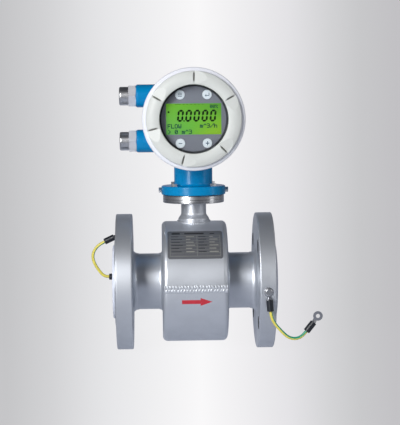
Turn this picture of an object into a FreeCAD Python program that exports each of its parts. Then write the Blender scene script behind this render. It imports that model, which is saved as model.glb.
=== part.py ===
import FreeCAD
import Part

import math
import os

# Electromagnetic flow meter, nominal bore 65 mm, with a display head on a neck.
# Millimetres. +X is the flow direction, -Y the display side, +Z up, and the
# origin is the middle of the flow bore. Each piece is one named STEP file.

V = FreeCAD.Vector
X_AXIS, Y_AXIS, Z_AXIS = V(1, 0, 0), V(0, 1, 0), V(0, 0, 1)
ORIGIN = V(0, 0, 0)

# ---- measuring section -------------------------------------------------------
TUBE_R = 38.05            # 76.1 mm tube
TUBE_WALL = 3.5
LINER_WALL = 3.55
LINER_LIP_R = 50.0
LINER_LIP_T = 3.0
SEAL_FACE_X = 108.0       # raised sealing faces, from the middle of the bore
FLANGE_R = 92.5           # DN65 PN16
FLANGE_T = 22.0
FLANGE_EDGE = 1.6
RAISED_FACE_R = 61.0
RAISED_FACE_H = 2.0
BOLT_CIRCLE_R = 72.5
BOLT_HOLE_R = 9.0
BOLT_COUNT = 4
FLANGE_WELD = 8.0         # fillet weld between flange and tube
DRUM_R = 82.0
DRUM_HALF = 44.0
DRUM_WALL = 3.0
DRUM_EDGE = 6.5
DRUM_WELD = 4.0
WELD_TOE = 0.6            # thickness of a weld fillet where it runs out

# ---- magnet system and electrodes --------------------------------------------
FIT = 0.3                 # clearance between loose inner pieces
SHOE_T = 3.0
SHOE_HALF_X = 28.0
SHOE_ANGLE = 46.0         # half angle of the pole shoe around the tube
CORE_R = 10.0
COIL_R = 27.0
COIL_T = 15.0
COIL_RISE = 6.0           # coil underside above the tube
YOKE_R = 66.0
YOKE_T = 3.0
YOKE_HALF_X = 18.0
ELECTRODE_R = 3.0
ELECTRODE_HEAD_R = 5.5
ELECTRODE_HEAD_T = 1.2
ELECTRODE_LENGTH = 24.0
BUSH_WALL = 2.5
BUSH_LENGTH = 9.0
NUT_AF = 10.0
NUT_T = 4.0

# ---- neck --------------------------------------------------------------------
NECK_R = 17.0
NECK_BORE_R = 13.5
NECK_FOOT_R = 21.0
NECK_FOOT_H = 4.0         # foot weld above the drum
NECK_FLARE_H = 10.0
NECK_FLARE_BEND = 6.0      # rounding where the flare meets the tube
NECK_TOP_Z = 108.0
DISC_R = 41.5
DISC_T = 10.4
DISC_BORE_R = 12.0
GASKET_T = 0.6
NECK_PLUG_T = 10.0
HARNESS_R = 3.5
DRUM_CABLE_HOLE_R = 10.0

# ---- head housing ------------------------------------------------------------
HEAD_Z = 222.0
HEAD_HALF = 58.0          # housing ends, front and rear
RIM_R = 65.5
RIM_LENGTH = 11.0
BARREL_R = 62.0
MOUTH_R = 56.2
MOUTH_CHAMFER = 3.2
PARTITION_Y = 14.0
PARTITION_T = 5.0
HEAD_FLANGE_R = 43.5
HEAD_FLANGE_T = 11.9
HEAD_NECK_R = 26.0
HEAD_PASSAGE_R = 11.0
HEAD_BOLT_R = 37.2
BOLT_R = 2.5              # M5
BOLT_HEAD_R = 4.4
BOLT_HEAD_H = 3.6
SIDE_SCREW_R = 2.0
SIDE_HEAD_R = 3.9
SIDE_HEAD_H = 3.8
SIDE_SCREW_DEPTH = 12.0

# ---- screwed covers ----------------------------------------------------------
COVER_R = 68.25
COVER_GAP = 0.3           # shoulder above the housing face
COVER_LEDGE_T = 8.2
COVER_RING_R = 63.2
COVER_RING_RISE = 6.4
COVER_DOME_RISE = 4.6
COVER_DOME_MID_R = 54.5
COVER_LIP_RISE = 2.2
SKIRT_LENGTH = 11.0
SKIRT_WALL = 3.9
THREAD_CLEARANCE = 0.3
SEAL_CLEARANCE = 0.06
WINDOW_R = 45.3
WINDOW_SEAT = 3.7         # how far the glass reaches under the lip
WINDOW_GLASS_T = 6.0
WINDOW_GASKET_T = 0.5
RETAINER_T = 9.5
GRIP_AXIS = 172.0         # the six grips are mirrored about this angle
GRIP_OFFSETS = (22.5, 83.5, 143.0)
GRIP_WALL_SLOPE = 0.9
GRIP_RAMP_SLOPE = 0.16
GRIP_DEPTH = 4.5

# ---- display -----------------------------------------------------------------
PANEL_R = 50.0
PANEL_T = 2.0
PANEL_SETBACK = 1.0       # panel front behind the housing face
LCD_W, LCD_H = 73.0, 41.0
LCD_RIM = 2.5
LCD_T = 6.0
LCD_INSET = 0.6
KEY_R = 6.15
KEY_X, KEY_Z = 17.9, 32.1
KEY_CLEARANCE = 0.25
KEY_PROUD = 1.3
KEY_TRAVEL = 0.5
KEY_COLLAR = 1.3
BOARD_T = 1.6
PANEL_TO_BOARD = 7.0
BOARD_R = 49.0
POST_X, POST_Z, POST_R = 37.0, 27.0, 2.5
MAIN_BOARD_W, MAIN_BOARD_H = 84.0, 64.0
MAIN_BOARD_SPACING = 26.0
POWER_W, POWER_T, POWER_H = 44.0, 18.0, 26.0
POWER_X, POWER_Z = 8.0, 14.0
TERMINAL_PITCH = 8.0
TERMINAL_COUNT = 9
TERMINAL_END = 4.0        # block length beyond its ways
TERMINAL_T, TERMINAL_H = 15.0, 20.0
TERMINAL_SCREW_R, TERMINAL_SCREW_T = 2.9, 2.4
TERMINAL_POCKET_R, TERMINAL_POCKET_DEPTH = 3.2, 6.0
TERMINAL_SCREW_DROP = 3.0
TERMINAL_MOUTH_W, TERMINAL_MOUTH_D, TERMINAL_MOUTH_H = 5.0, 8.0, 6.0
SWITCH_SIDE = 6.0

# ---- cable glands ------------------------------------------------------------
GLAND_Z = 31.0            # above and below the head's middle
GLAND_Y = HEAD_HALF - 28.0
BOSS_R = 15.75
BOSS_END_X = 77.0
BOSS_CHAMFER = 2.2
GLAND_THREAD_R = 9.9
GLAND_THREAD_LENGTH = 12.0
GLAND_HEX_AF = 28.5
GLAND_HEX_T = 10.2
GLAND_COLLAR_R = 11.0
GLAND_COLLAR_LENGTH = 8.5
NUT_R = 12.8
NUT_LENGTH = 12.6
NUT_END_T = 3.4
NUT_MOUTH_R = 6.0
SEAL_R = 8.0
CABLE_R = 4.5

# ---- earth straps ------------------------------------------------------------
WIRE_R = 2.1
STRAP_STANDOFF = 4.0      # wire axis in front of the flange rim
EARTH_SCREW_Z = -5.0
EARTH_SCREW_R = 2.5       # M5
EARTH_HEAD_R = 5.2
EARTH_HEAD_H = 3.2
EARTH_SCREW_DEPTH = 14.0
EARTH_SEAT_R = 8.6
EARTH_SEAT_DEPTH = 0.9
LUG_T = 1.0
LUG_R = 6.3
LUG_HOLE_R = 2.7
LUG_REACH = 19.0          # ring centre to the end of the wire
BARREL_END_R = 2.9
SLEEVE_R = 4.4
SLEEVE_GRIP = 6.0
SLEEVE_LENGTH = 15.2

# ---- nameplate ---------------------------------------------------------------
PLATE_W = 73.0
PLATE_T = 0.8
PLATE_LOW_ANGLE, PLATE_HIGH_ANGLE = 27.5, 60.0
PLATE_CORNER = 3.0

# ---- worked out from the above -----------------------------------------------
TUBE_BORE_R = TUBE_R - TUBE_WALL
LINER_R = TUBE_BORE_R - LINER_WALL
ELECTRODE_SEAT = LINER_R + ELECTRODE_HEAD_T
RIM_FACE_X = SEAL_FACE_X - RAISED_FACE_H
FLANGE_BACK_X = RIM_FACE_X - FLANGE_T
DISC_TOP_Z = NECK_TOP_Z + DISC_T
HEAD_BASE_Z = DISC_TOP_Z + GASKET_T
HEAD_FLANGE_TOP_Z = HEAD_BASE_Z + HEAD_FLANGE_T
SKIRT_R = MOUTH_R - THREAD_CLEARANCE
COVER_SHOULDER = HEAD_HALF + COVER_GAP
COVER_LEDGE = COVER_SHOULDER + COVER_LEDGE_T
COVER_FACE = COVER_LEDGE + COVER_RING_RISE
WINDOW_LIP = COVER_FACE + COVER_LIP_RISE
GLASS_R = WINDOW_R + WINDOW_SEAT - FIT
SEAT_R = WINDOW_R + WINDOW_SEAT
SEAT_Y = WINDOW_LIP - 1.2
GLASS_FRONT = SEAT_Y - WINDOW_GASKET_T
GLASS_BACK = GLASS_FRONT - WINDOW_GLASS_T
RETAINER_BACK = GLASS_BACK - RETAINER_T
PANEL_FRONT_Y = -HEAD_HALF + PANEL_SETBACK
PANEL_BACK_Y = PANEL_FRONT_Y + PANEL_T
BOARD_FRONT_Y = PANEL_BACK_Y + PANEL_TO_BOARD
BOARD_BACK_Y = BOARD_FRONT_Y + BOARD_T
MAIN_FRONT_Y = BOARD_BACK_Y + MAIN_BOARD_SPACING
MAIN_BACK_Y = MAIN_FRONT_Y + BOARD_T
HEAD_CENTRE = V(0, 0, HEAD_Z)

pieces = {}


# ---- shape helpers -----------------------------------------------------------
def rounded_face(corners):
    """Flat face in XY through corners (u, v, radius), each rounded by a tangent arc."""
    spots = []
    for i, (u, v, radius) in enumerate(corners):
        here = V(u, v, 0)
        if radius <= 0:
            spots.append((here, None, here))
            continue
        back = (V(*corners[i - 1][:2], 0) - here).normalize()
        ahead = (V(*corners[(i + 1) % len(corners)][:2], 0) - here).normalize()
        half = back.getAngle(ahead) / 2
        reach = radius / math.tan(half)
        middle = here + (back + ahead).normalize() * (radius / math.sin(half) - radius)
        spots.append((here + back * reach, middle, here + ahead * reach))
    edges = []
    for i, (start, middle, end) in enumerate(spots):
        if middle is not None:
            edges.append(Part.Arc(start, middle, end).toShape())
        following = spots[(i + 1) % len(spots)][0]
        if end.distanceToPoint(following) > 1e-6:
            edges.append(Part.LineSegment(end, following).toShape())
    return Part.Face(Part.Wire(edges))


def placed(shape, centre, direction, start=Y_AXIS):
    shape.Placement = FreeCAD.Placement(centre, FreeCAD.Rotation(start, direction))
    return shape


def turned(corners, direction, centre=ORIGIN):
    """Solid of revolution; corners are (radius, distance along the axis, rounding)."""
    corners = [(*corner, 0) if len(corner) == 2 else corner for corner in corners]
    return placed(rounded_face(corners).revolve(ORIGIN, Y_AXIS, 360), centre, direction)


def ring(inner, outer, low, high, direction, centre=ORIGIN, edge=0):
    if inner > 0:
        profile = [(inner, low), (outer, low, edge), (outer, high, edge), (inner, high)]
    else:
        profile = [(0, low), (outer, low, edge), (outer, high, edge), (0, high)]
    return turned(profile, direction, centre)


def rod(radius, start, direction, length):
    return Part.makeCylinder(radius, length, start, direction)


def hexagon(across_flats, start, direction, length, bore=0):
    """Hexagonal prism with its corner edges turned down, as a bar nut is."""
    corner = across_flats / math.sqrt(3)
    turns = [math.radians(60 * i + 30) for i in range(6)]
    outline = [V(corner * math.cos(a), corner * math.sin(a), 0) for a in turns]
    prism = Part.Face(Part.makePolygon(outline + outline[:1])).extrude(V(0, 0, length))
    ease = (corner - across_flats / 2) * 0.9
    envelope = turned([(0, 0), (corner - ease, 0), (corner, ease * 0.5),
                       (corner, length - ease * 0.5), (corner - ease, length), (0, length)], Z_AXIS)
    prism = prism.common(envelope)
    if bore:
        prism = prism.cut(rod(bore, ORIGIN, Z_AXIS, length))
    return placed(prism, start, direction, Z_AXIS)


def box(size, centre):
    return Part.makeBox(*size, V(*(c - s / 2 for c, s in zip(centre, size))))


def round_pattern(count, radius, first, centre, spin=Z_AXIS, start=X_AXIS):
    """Centres of a bolt pattern about the spin axis."""
    arm = start * radius
    return [centre + FreeCAD.Rotation(spin, first + 360 * i / count).multVec(arm)
            for i in range(count)]


def fused(solids):
    return solids[0].multiFuse(solids[1:]).removeSplitter()


# ---- measuring section -------------------------------------------------------
def flange(side):
    """Flange with a raised face, welded to the tube, with a milled seat for the earth screw."""
    toe_r = TUBE_R + WELD_TOE
    body = turned([
        (TUBE_R, FLANGE_BACK_X - FLANGE_WELD), (toe_r, FLANGE_BACK_X - FLANGE_WELD),
        (toe_r, FLANGE_BACK_X, FLANGE_WELD - WELD_TOE), (FLANGE_R, FLANGE_BACK_X, FLANGE_EDGE),
        (FLANGE_R, RIM_FACE_X, FLANGE_EDGE), (RAISED_FACE_R, RIM_FACE_X),
        (RAISED_FACE_R, SEAL_FACE_X, RAISED_FACE_H / 4), (TUBE_R, SEAL_FACE_X)], X_AXIS * side)
    middle = V(side * FLANGE_BACK_X, 0, 0)
    for centre in round_pattern(BOLT_COUNT, BOLT_CIRCLE_R, 45, middle, X_AXIS, Z_AXIS):
        body = body.cut(rod(BOLT_HOLE_R, centre, X_AXIS * side, FLANGE_T))
    screw = earth_screw_seat(side)
    outward = Y_AXIS * -side
    body = body.cut(rod(EARTH_SEAT_R, screw, outward, EARTH_SEAT_DEPTH * 4))
    return body.cut(rod(EARTH_SCREW_R, screw, -outward, EARTH_SCREW_DEPTH))


def earth_screw_seat(side):
    """The outlet strap is fixed on the front of its flange, the inlet strap on the rear."""
    x = side * (FLANGE_BACK_X + RIM_FACE_X) / 2
    return V(x, -side * (FLANGE_R - EARTH_SEAT_DEPTH), EARTH_SCREW_Z)


def tube_and_liner():
    tube = ring(TUBE_BORE_R, TUBE_R, -SEAL_FACE_X, SEAL_FACE_X, X_AXIS)
    lip_x = SEAL_FACE_X + LINER_LIP_T
    edge = LINER_LIP_T / 3
    liner = turned([
        (LINER_R, -lip_x, edge), (LINER_LIP_R, -lip_x, edge), (LINER_LIP_R, -SEAL_FACE_X),
        (TUBE_BORE_R, -SEAL_FACE_X), (TUBE_BORE_R, SEAL_FACE_X), (LINER_LIP_R, SEAL_FACE_X),
        (LINER_LIP_R, lip_x, edge), (LINER_R, lip_x, edge)], X_AXIS)
    hole = ELECTRODE_R + BUSH_WALL
    for side in (-1, 1):
        tube = tube.cut(rod(hole, ORIGIN, Y_AXIS * side, TUBE_R + 1))
        liner = liner.cut(rod(ELECTRODE_R, ORIGIN, Y_AXIS * side, TUBE_R + 1))
        liner = liner.cut(rod(ELECTRODE_HEAD_R, ORIGIN, Y_AXIS * side, ELECTRODE_SEAT))
    pieces["measuring_tube"] = tube
    pieces["liner"] = liner


def coil_housing():
    """Welded steel drum around the coils, closed on the tube by two end plates."""
    toe_r, toe_x = TUBE_R + WELD_TOE, DRUM_HALF + DRUM_WELD
    fillet = DRUM_WELD - WELD_TOE
    inner_r, inner_x = DRUM_R - DRUM_WALL, DRUM_HALF - DRUM_WALL
    inner_edge = DRUM_EDGE - DRUM_WALL
    shell = turned([
        (TUBE_R, -toe_x), (toe_r, -toe_x), (toe_r, -DRUM_HALF, fillet),
        (DRUM_R, -DRUM_HALF, DRUM_EDGE), (DRUM_R, DRUM_HALF, DRUM_EDGE),
        (toe_r, DRUM_HALF, fillet), (toe_r, toe_x), (TUBE_R, toe_x), (TUBE_R, inner_x),
        (inner_r, inner_x, inner_edge), (inner_r, -inner_x, inner_edge), (TUBE_R, -inner_x)],
        X_AXIS)
    return shell.cut(rod(DRUM_CABLE_HOLE_R, V(0, 0, inner_r - 5), Z_AXIS, 10))


def sector(inner, outer, half_x, middle, half_angle):
    """Curved plate around the X axis, centred at an angle above the -Y direction."""
    turn = FreeCAD.Rotation(X_AXIS, half_angle - middle)
    face = Part.Face(Part.makePolygon([
        turn.multVec(V(x, -r, 0)) for x, r in
        ((-half_x, inner), (half_x, inner), (half_x, outer), (-half_x, outer), (-half_x, inner))]))
    return face.revolve(ORIGIN, -X_AXIS, 2 * half_angle)


def magnet_system():
    """Two coils on pole pieces above and below the tube, joined by a yoke band."""
    well = Part.makeCylinder(YOKE_R, 2 * DRUM_HALF, V(-DRUM_HALF, 0, 0), X_AXIS)
    for name, up in (("upper", Z_AXIS), ("lower", -Z_AXIS)):
        middle = 90 if up.z > 0 else -90
        shoe = sector(TUBE_R, TUBE_R + SHOE_T, SHOE_HALF_X, middle, SHOE_ANGLE)
        core = rod(CORE_R, up * (TUBE_R + SHOE_T / 2), up, YOKE_R).common(well)
        pieces[name + "_pole"] = fused([shoe, core])
        low = TUBE_R + COIL_RISE
        pieces[name + "_coil"] = ring(CORE_R + FIT, COIL_R, low, low + COIL_T, up,
                                      edge=COIL_T / 8)
    pieces["yoke_band"] = ring(YOKE_R, YOKE_R + YOKE_T, -YOKE_HALF_X, YOKE_HALF_X, X_AXIS)


def electrodes():
    """Two horizontal electrodes, each sealed on the liner and held by a nut on its bush."""
    bushes, nuts = [], []
    for name, side in (("front", -1), ("rear", 1)):
        out = Y_AXIS * side
        end = ELECTRODE_SEAT + ELECTRODE_LENGTH
        pieces[name + "_electrode"] = turned([
            (0, LINER_R), (ELECTRODE_HEAD_R, LINER_R, 0.3), (ELECTRODE_HEAD_R, ELECTRODE_SEAT),
            (ELECTRODE_R, ELECTRODE_SEAT), (ELECTRODE_R, end, 0.5), (0, end)], out)
        bush = ring(ELECTRODE_R, ELECTRODE_R + BUSH_WALL, TUBE_BORE_R, TUBE_BORE_R + BUSH_LENGTH, out)
        bushes.append(bush.cut(rod(TUBE_BORE_R, V(-20, 0, 0), X_AXIS, 40)))
        nuts.append(hexagon(NUT_AF, out * (TUBE_BORE_R + BUSH_LENGTH), out, NUT_T, ELECTRODE_R))
    pieces["electrode_bushes"] = Part.makeCompound(bushes)
    pieces["electrode_nuts"] = Part.makeCompound(nuts)


def measuring_section():
    pieces["inlet_flange"] = flange(-1)
    pieces["outlet_flange"] = flange(1)
    tube_and_liner()
    pieces["coil_housing"] = coil_housing()
    magnet_system()
    electrodes()
    middle = (PLATE_LOW_ANGLE + PLATE_HIGH_ANGLE) / 2
    half = (PLATE_HIGH_ANGLE - PLATE_LOW_ANGLE) / 2
    plate = sector(DRUM_R, DRUM_R + PLATE_T, PLATE_W / 2, middle, half)
    corners = [edge for edge in plate.Edges
               if edge.Length < PLATE_T * 1.01 and edge.Curve.TypeId == "Part::GeomLine"]
    pieces["nameplate"] = plate.makeFillet(PLATE_CORNER, corners)


# ---- neck --------------------------------------------------------------------
def neck():
    foot_top = DRUM_R + NECK_FOOT_H
    bottom = math.sqrt(DRUM_R ** 2 - NECK_FOOT_R ** 2) - 1
    tube = turned([
        (NECK_BORE_R, bottom), (NECK_FOOT_R, bottom), (NECK_FOOT_R, foot_top, 2),
        (NECK_R, DRUM_R + NECK_FLARE_H, NECK_FLARE_BEND), (NECK_R, NECK_TOP_Z), (NECK_BORE_R, NECK_TOP_Z)], Z_AXIS)
    pieces["neck_tube"] = tube.cut(rod(DRUM_R, V(-DRUM_HALF, 0, 0), X_AXIS, 2 * DRUM_HALF))
    disc = ring(DISC_BORE_R, DISC_R, NECK_TOP_Z, DISC_TOP_Z, Z_AXIS, edge=0.8)
    gasket = ring(NECK_BORE_R, DISC_R - FIT, DISC_TOP_Z, HEAD_BASE_Z, Z_AXIS)
    for centre in head_bolt_centres(NECK_TOP_Z):
        disc = disc.cut(rod(BOLT_R, centre, Z_AXIS, DISC_T))
        gasket = gasket.cut(rod(BOLT_R + FIT, centre, Z_AXIS, DISC_T + GASKET_T))
    pieces["neck_disc"] = disc
    pieces["neck_gasket"] = gasket
    plug_top = NECK_TOP_Z - 1
    pieces["neck_plug"] = ring(HARNESS_R, NECK_BORE_R, plug_top - NECK_PLUG_T, plug_top, Z_AXIS)
    socket_z = HEAD_Z - MAIN_BOARD_H / 2 + 6
    yoke_top = YOKE_R + YOKE_T
    pieces["signal_harness"] = rod(HARNESS_R, V(0, 0, yoke_top), Z_AXIS, socket_z - yoke_top)
    socket_depth = HARNESS_R - MAIN_BACK_Y
    pieces["harness_socket"] = box((16, socket_depth, 10),
                                   (0, MAIN_BACK_Y + socket_depth / 2, socket_z + 5))


def head_bolt_centres(z):
    return round_pattern(4, HEAD_BOLT_R, 45, V(0, 0, z))


# ---- head housing ------------------------------------------------------------
def gland_centres():
    return {"upper": V(0, GLAND_Y, HEAD_Z + GLAND_Z), "lower": V(0, GLAND_Y, HEAD_Z - GLAND_Z)}


def head_housing():
    """Cast two-chamber housing with a partition, gland bosses and a flanged neck."""
    step = RIM_R - BARREL_R
    rim_y = HEAD_HALF - RIM_LENGTH
    barrel = turned([
        (0, -HEAD_HALF), (RIM_R, -HEAD_HALF, 1), (RIM_R, -rim_y, 1.5), (BARREL_R, -rim_y + step, 3),
        (BARREL_R, rim_y - step, 3), (RIM_R, rim_y, 1.5), (RIM_R, HEAD_HALF, 1), (0, HEAD_HALF)],
        Y_AXIS, HEAD_CENTRE)
    stem = turned([
        (0, HEAD_BASE_Z), (HEAD_FLANGE_R, HEAD_BASE_Z, 0.8), (HEAD_FLANGE_R, HEAD_FLANGE_TOP_Z, 1.8),
        (HEAD_NECK_R, HEAD_FLANGE_TOP_Z, 4), (HEAD_NECK_R, HEAD_Z - MOUTH_R * 0.8),
        (0, HEAD_Z - MOUTH_R * 0.8)], Z_AXIS)
    bosses = [turned([(0, 20), (BOSS_R, 20), (BOSS_R, BOSS_END_X, BOSS_CHAMFER), (0, BOSS_END_X)],
                     -X_AXIS, centre) for centre in gland_centres().values()]
    body = fused([barrel, stem] + bosses)
    front = [(0, -HEAD_HALF - 1), (MOUTH_R + MOUTH_CHAMFER + 1, -HEAD_HALF - 1),
             (MOUTH_R, -HEAD_HALF + MOUTH_CHAMFER), (MOUTH_R, PARTITION_Y, 4), (0, PARTITION_Y)]
    rear = [(0, PARTITION_Y + PARTITION_T), (MOUTH_R, PARTITION_Y + PARTITION_T, 4),
            (MOUTH_R, HEAD_HALF - MOUTH_CHAMFER), (MOUTH_R + MOUTH_CHAMFER + 1, HEAD_HALF + 1),
            (0, HEAD_HALF + 1)]
    for chamber in (front, rear):
        body = body.cut(turned(chamber, Y_AXIS, HEAD_CENTRE))
    body = body.cut(rod(HEAD_PASSAGE_R, V(0, 0, HEAD_BASE_Z), Z_AXIS, HEAD_Z - HEAD_BASE_Z))
    body = body.cut(rod(6, V(30, PARTITION_Y - 1, HEAD_Z - 30), Y_AXIS, PARTITION_T + 2))
    for centre in gland_centres().values():
        body = body.cut(rod(GLAND_THREAD_R, centre, -X_AXIS, BOSS_END_X))
    for centre in head_bolt_centres(HEAD_BASE_Z):
        body = body.cut(rod(BOLT_R, centre, Z_AXIS, HEAD_FLANGE_T))
    for side in (-1, 1):
        body = body.cut(rod(SIDE_SCREW_R, side_screw_seat(side), X_AXIS * -side, SIDE_SCREW_DEPTH))
    return body


def side_screw_seat(side):
    return V(side * HEAD_FLANGE_R, 0, HEAD_BASE_Z + HEAD_FLANGE_T / 2)


def screw(seat, out, shank_r, depth, head_r, head_h, hex_head=False):
    """Screw with its head on the seat; out points from the seat to the head."""
    shank = rod(shank_r, seat - out * depth, out, depth)
    if hex_head:
        head = hexagon(head_r * math.sqrt(3), seat, out, head_h)
    else:
        head = turned([(0, 0), (head_r, 0), (head_r, head_h, head_h * 0.45), (0, head_h)], out, seat)
        slot = box((head_r * 2, head_r * 0.26, head_h * 0.8), (0, 0, head_h))
        head = head.cut(placed(slot, seat, out, Z_AXIS))
    return fused([shank, head])


def head_fasteners():
    depth = HEAD_FLANGE_T + GASKET_T + DISC_T - 1
    pieces["neck_bolts"] = Part.makeCompound([
        screw(seat, Z_AXIS, BOLT_R, depth, BOLT_HEAD_R, BOLT_HEAD_H, hex_head=True)
        for seat in head_bolt_centres(HEAD_FLANGE_TOP_Z)])
    pieces["side_screws"] = Part.makeCompound([
        screw(side_screw_seat(side), X_AXIS * side, SIDE_SCREW_R, SIDE_SCREW_DEPTH,
              SIDE_HEAD_R, SIDE_HEAD_H, hex_head=True) for side in (-1, 1)])


# ---- screwed covers ----------------------------------------------------------
def cover_profile(inside):
    """Half section of a screwed cover: skirt, shoulder, ledge and a domed grip ring."""
    return [
        (SKIRT_R - SKIRT_WALL, HEAD_HALF - SKIRT_LENGTH), (SKIRT_R, HEAD_HALF - SKIRT_LENGTH, 0.6),
        (SKIRT_R, COVER_SHOULDER), (COVER_R, COVER_SHOULDER, 1), (COVER_R, COVER_LEDGE, 2.4),
        (COVER_RING_R, COVER_LEDGE + 0.8, 0.6), (COVER_RING_R, COVER_FACE, 2.5),
        (COVER_DOME_MID_R, COVER_FACE + COVER_DOME_RISE, 17)] + inside


def grip_scoops(cover, out):
    """Cuts six finger grips: a steep wall, and a ramp back up to the domed face."""
    inner = V(WINDOW_R + 1.2, 0, COVER_FACE + COVER_LIP_RISE - 0.2)
    outer = V(COVER_RING_R - 0.4, 0, COVER_FACE - 1.3)
    along = outer - inner
    for offset in GRIP_OFFSETS:
        for mirror in (-1, 1):
            wedge = Part.Face(Part.makePolygon([inner + V(0, mirror * t, h) for t, h in (
                (0, 0), (GRIP_DEPTH / GRIP_RAMP_SLOPE, GRIP_DEPTH),
                (-GRIP_DEPTH * GRIP_WALL_SLOPE, GRIP_DEPTH), (0, 0))]))
            wedge = wedge.extrude(along * 1.08)
            wedge.rotate(ORIGIN, Z_AXIS, GRIP_AXIS + mirror * offset)
            cover = cover.cut(placed_on_head(wedge, out))
    return cover


def placed_on_head(shape, out):
    """Moves a shape drawn with +Z outwards and +X to the right onto a face of the head."""
    turn = FreeCAD.Rotation(X_AXIS, 90) if out.y < 0 else FreeCAD.Rotation(X_AXIS, -90)
    shape.Placement = FreeCAD.Placement(HEAD_CENTRE, turn).multiply(shape.Placement)
    return shape


def front_cover():
    inside = [(WINDOW_R + 0.5, WINDOW_LIP, 0.6), (WINDOW_R, SEAT_Y), (SEAT_R, SEAT_Y),
              (SEAT_R, RETAINER_BACK), (SKIRT_R - SKIRT_WALL, RETAINER_BACK - 1)]
    out = -Y_AXIS
    cover = turned(cover_profile(inside), out, HEAD_CENTRE)
    pieces["front_cover"] = grip_scoops(cover, out)
    pieces["window_gasket"] = ring(WINDOW_R + FIT, GLASS_R, GLASS_FRONT, SEAT_Y, out, HEAD_CENTRE)
    pieces["window_glass"] = ring(0, GLASS_R, GLASS_BACK, GLASS_FRONT, out, HEAD_CENTRE)
    pieces["window_retainer"] = ring(WINDOW_R + FIT, SEAT_R, RETAINER_BACK, GLASS_BACK, out,
                                     HEAD_CENTRE)


def rear_cover():
    floor = COVER_SHOULDER + 3
    inside = [(WINDOW_R + 0.5, WINDOW_LIP, 0.6), (WINDOW_R, WINDOW_LIP - 3, 2),
              (0, WINDOW_LIP - 3), (0, floor), (SKIRT_R - SKIRT_WALL, floor, 2)]
    pieces["rear_cover"] = grip_scoops(turned(cover_profile(inside), Y_AXIS, HEAD_CENTRE), Y_AXIS)


def cover_seals():
    """O-rings that touch the skirt, the shoulder and the mouth chamfer, less a clearance."""
    chamfer_sum = MOUTH_R + MOUTH_CHAMFER - HEAD_HALF
    corner = SKIRT_R + SEAL_CLEARANCE - (COVER_SHOULDER - SEAL_CLEARANCE)
    radius = (chamfer_sum - corner - SEAL_CLEARANCE * math.sqrt(2)) / (2 + math.sqrt(2))
    for name, out in (("front", -1), ("rear", 1)):
        centre = HEAD_CENTRE + Y_AXIS * out * (COVER_SHOULDER - SEAL_CLEARANCE - radius)
        pieces[name + "_o_ring"] = Part.makeTorus(
            SKIRT_R + SEAL_CLEARANCE + radius, radius, centre, Y_AXIS)


# ---- display and electronics -------------------------------------------------
KEY_PLACES = {"menu_key": (-1, 1), "enter_key": (1, 1), "minus_key": (-1, -1), "plus_key": (1, -1)}


def key_centre(places, y):
    return V(places[0] * KEY_X, y, HEAD_Z + places[1] * KEY_Z)


def display():
    panel = ring(0, PANEL_R, PANEL_FRONT_Y, PANEL_BACK_Y, Y_AXIS, HEAD_CENTRE)
    middle_y = (PANEL_FRONT_Y + PANEL_BACK_Y) / 2
    panel = panel.cut(box((LCD_W, PANEL_T + 1, LCD_H), (0, middle_y, HEAD_Z)))
    lens_front = PANEL_FRONT_Y + LCD_INSET
    lens = box((LCD_W - FIT, PANEL_BACK_Y - lens_front, LCD_H - FIT),
               (0, (lens_front + PANEL_BACK_Y) / 2, HEAD_Z))
    case = box((LCD_W + 2 * LCD_RIM, LCD_T, LCD_H + 2 * LCD_RIM),
               (0, PANEL_BACK_Y + LCD_T / 2, HEAD_Z))
    pieces["lcd_module"] = fused([lens, case])
    switch_top = BOARD_FRONT_Y - 2.5
    switches = []
    for name, place in KEY_PLACES.items():
        centre = key_centre(place, 0)
        panel = panel.cut(rod(KEY_R + KEY_CLEARANCE, key_centre(place, PANEL_FRONT_Y - 1), Y_AXIS,
                              PANEL_T + 2))
        collar_y = PANEL_BACK_Y + 0.1
        pieces[name] = turned([
            (0, PANEL_FRONT_Y - KEY_PROUD), (KEY_R, PANEL_FRONT_Y - KEY_PROUD, 0.5), (KEY_R, collar_y),
            (KEY_R + KEY_COLLAR, collar_y), (KEY_R + KEY_COLLAR, collar_y + 0.9),
            (2, collar_y + 0.9), (2, switch_top - KEY_TRAVEL - 0.1),
            (0, switch_top - KEY_TRAVEL - 0.1)], Y_AXIS, centre)
        switches.append(box((SWITCH_SIDE, BOARD_FRONT_Y - switch_top, SWITCH_SIDE),
                            key_centre(place, (BOARD_FRONT_Y + switch_top) / 2)))
    pieces["display_panel"] = panel
    pieces["key_switches"] = Part.makeCompound(switches)
    pieces["display_board"] = ring(0, BOARD_R, BOARD_FRONT_Y, BOARD_BACK_Y, Y_AXIS, HEAD_CENTRE)


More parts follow.
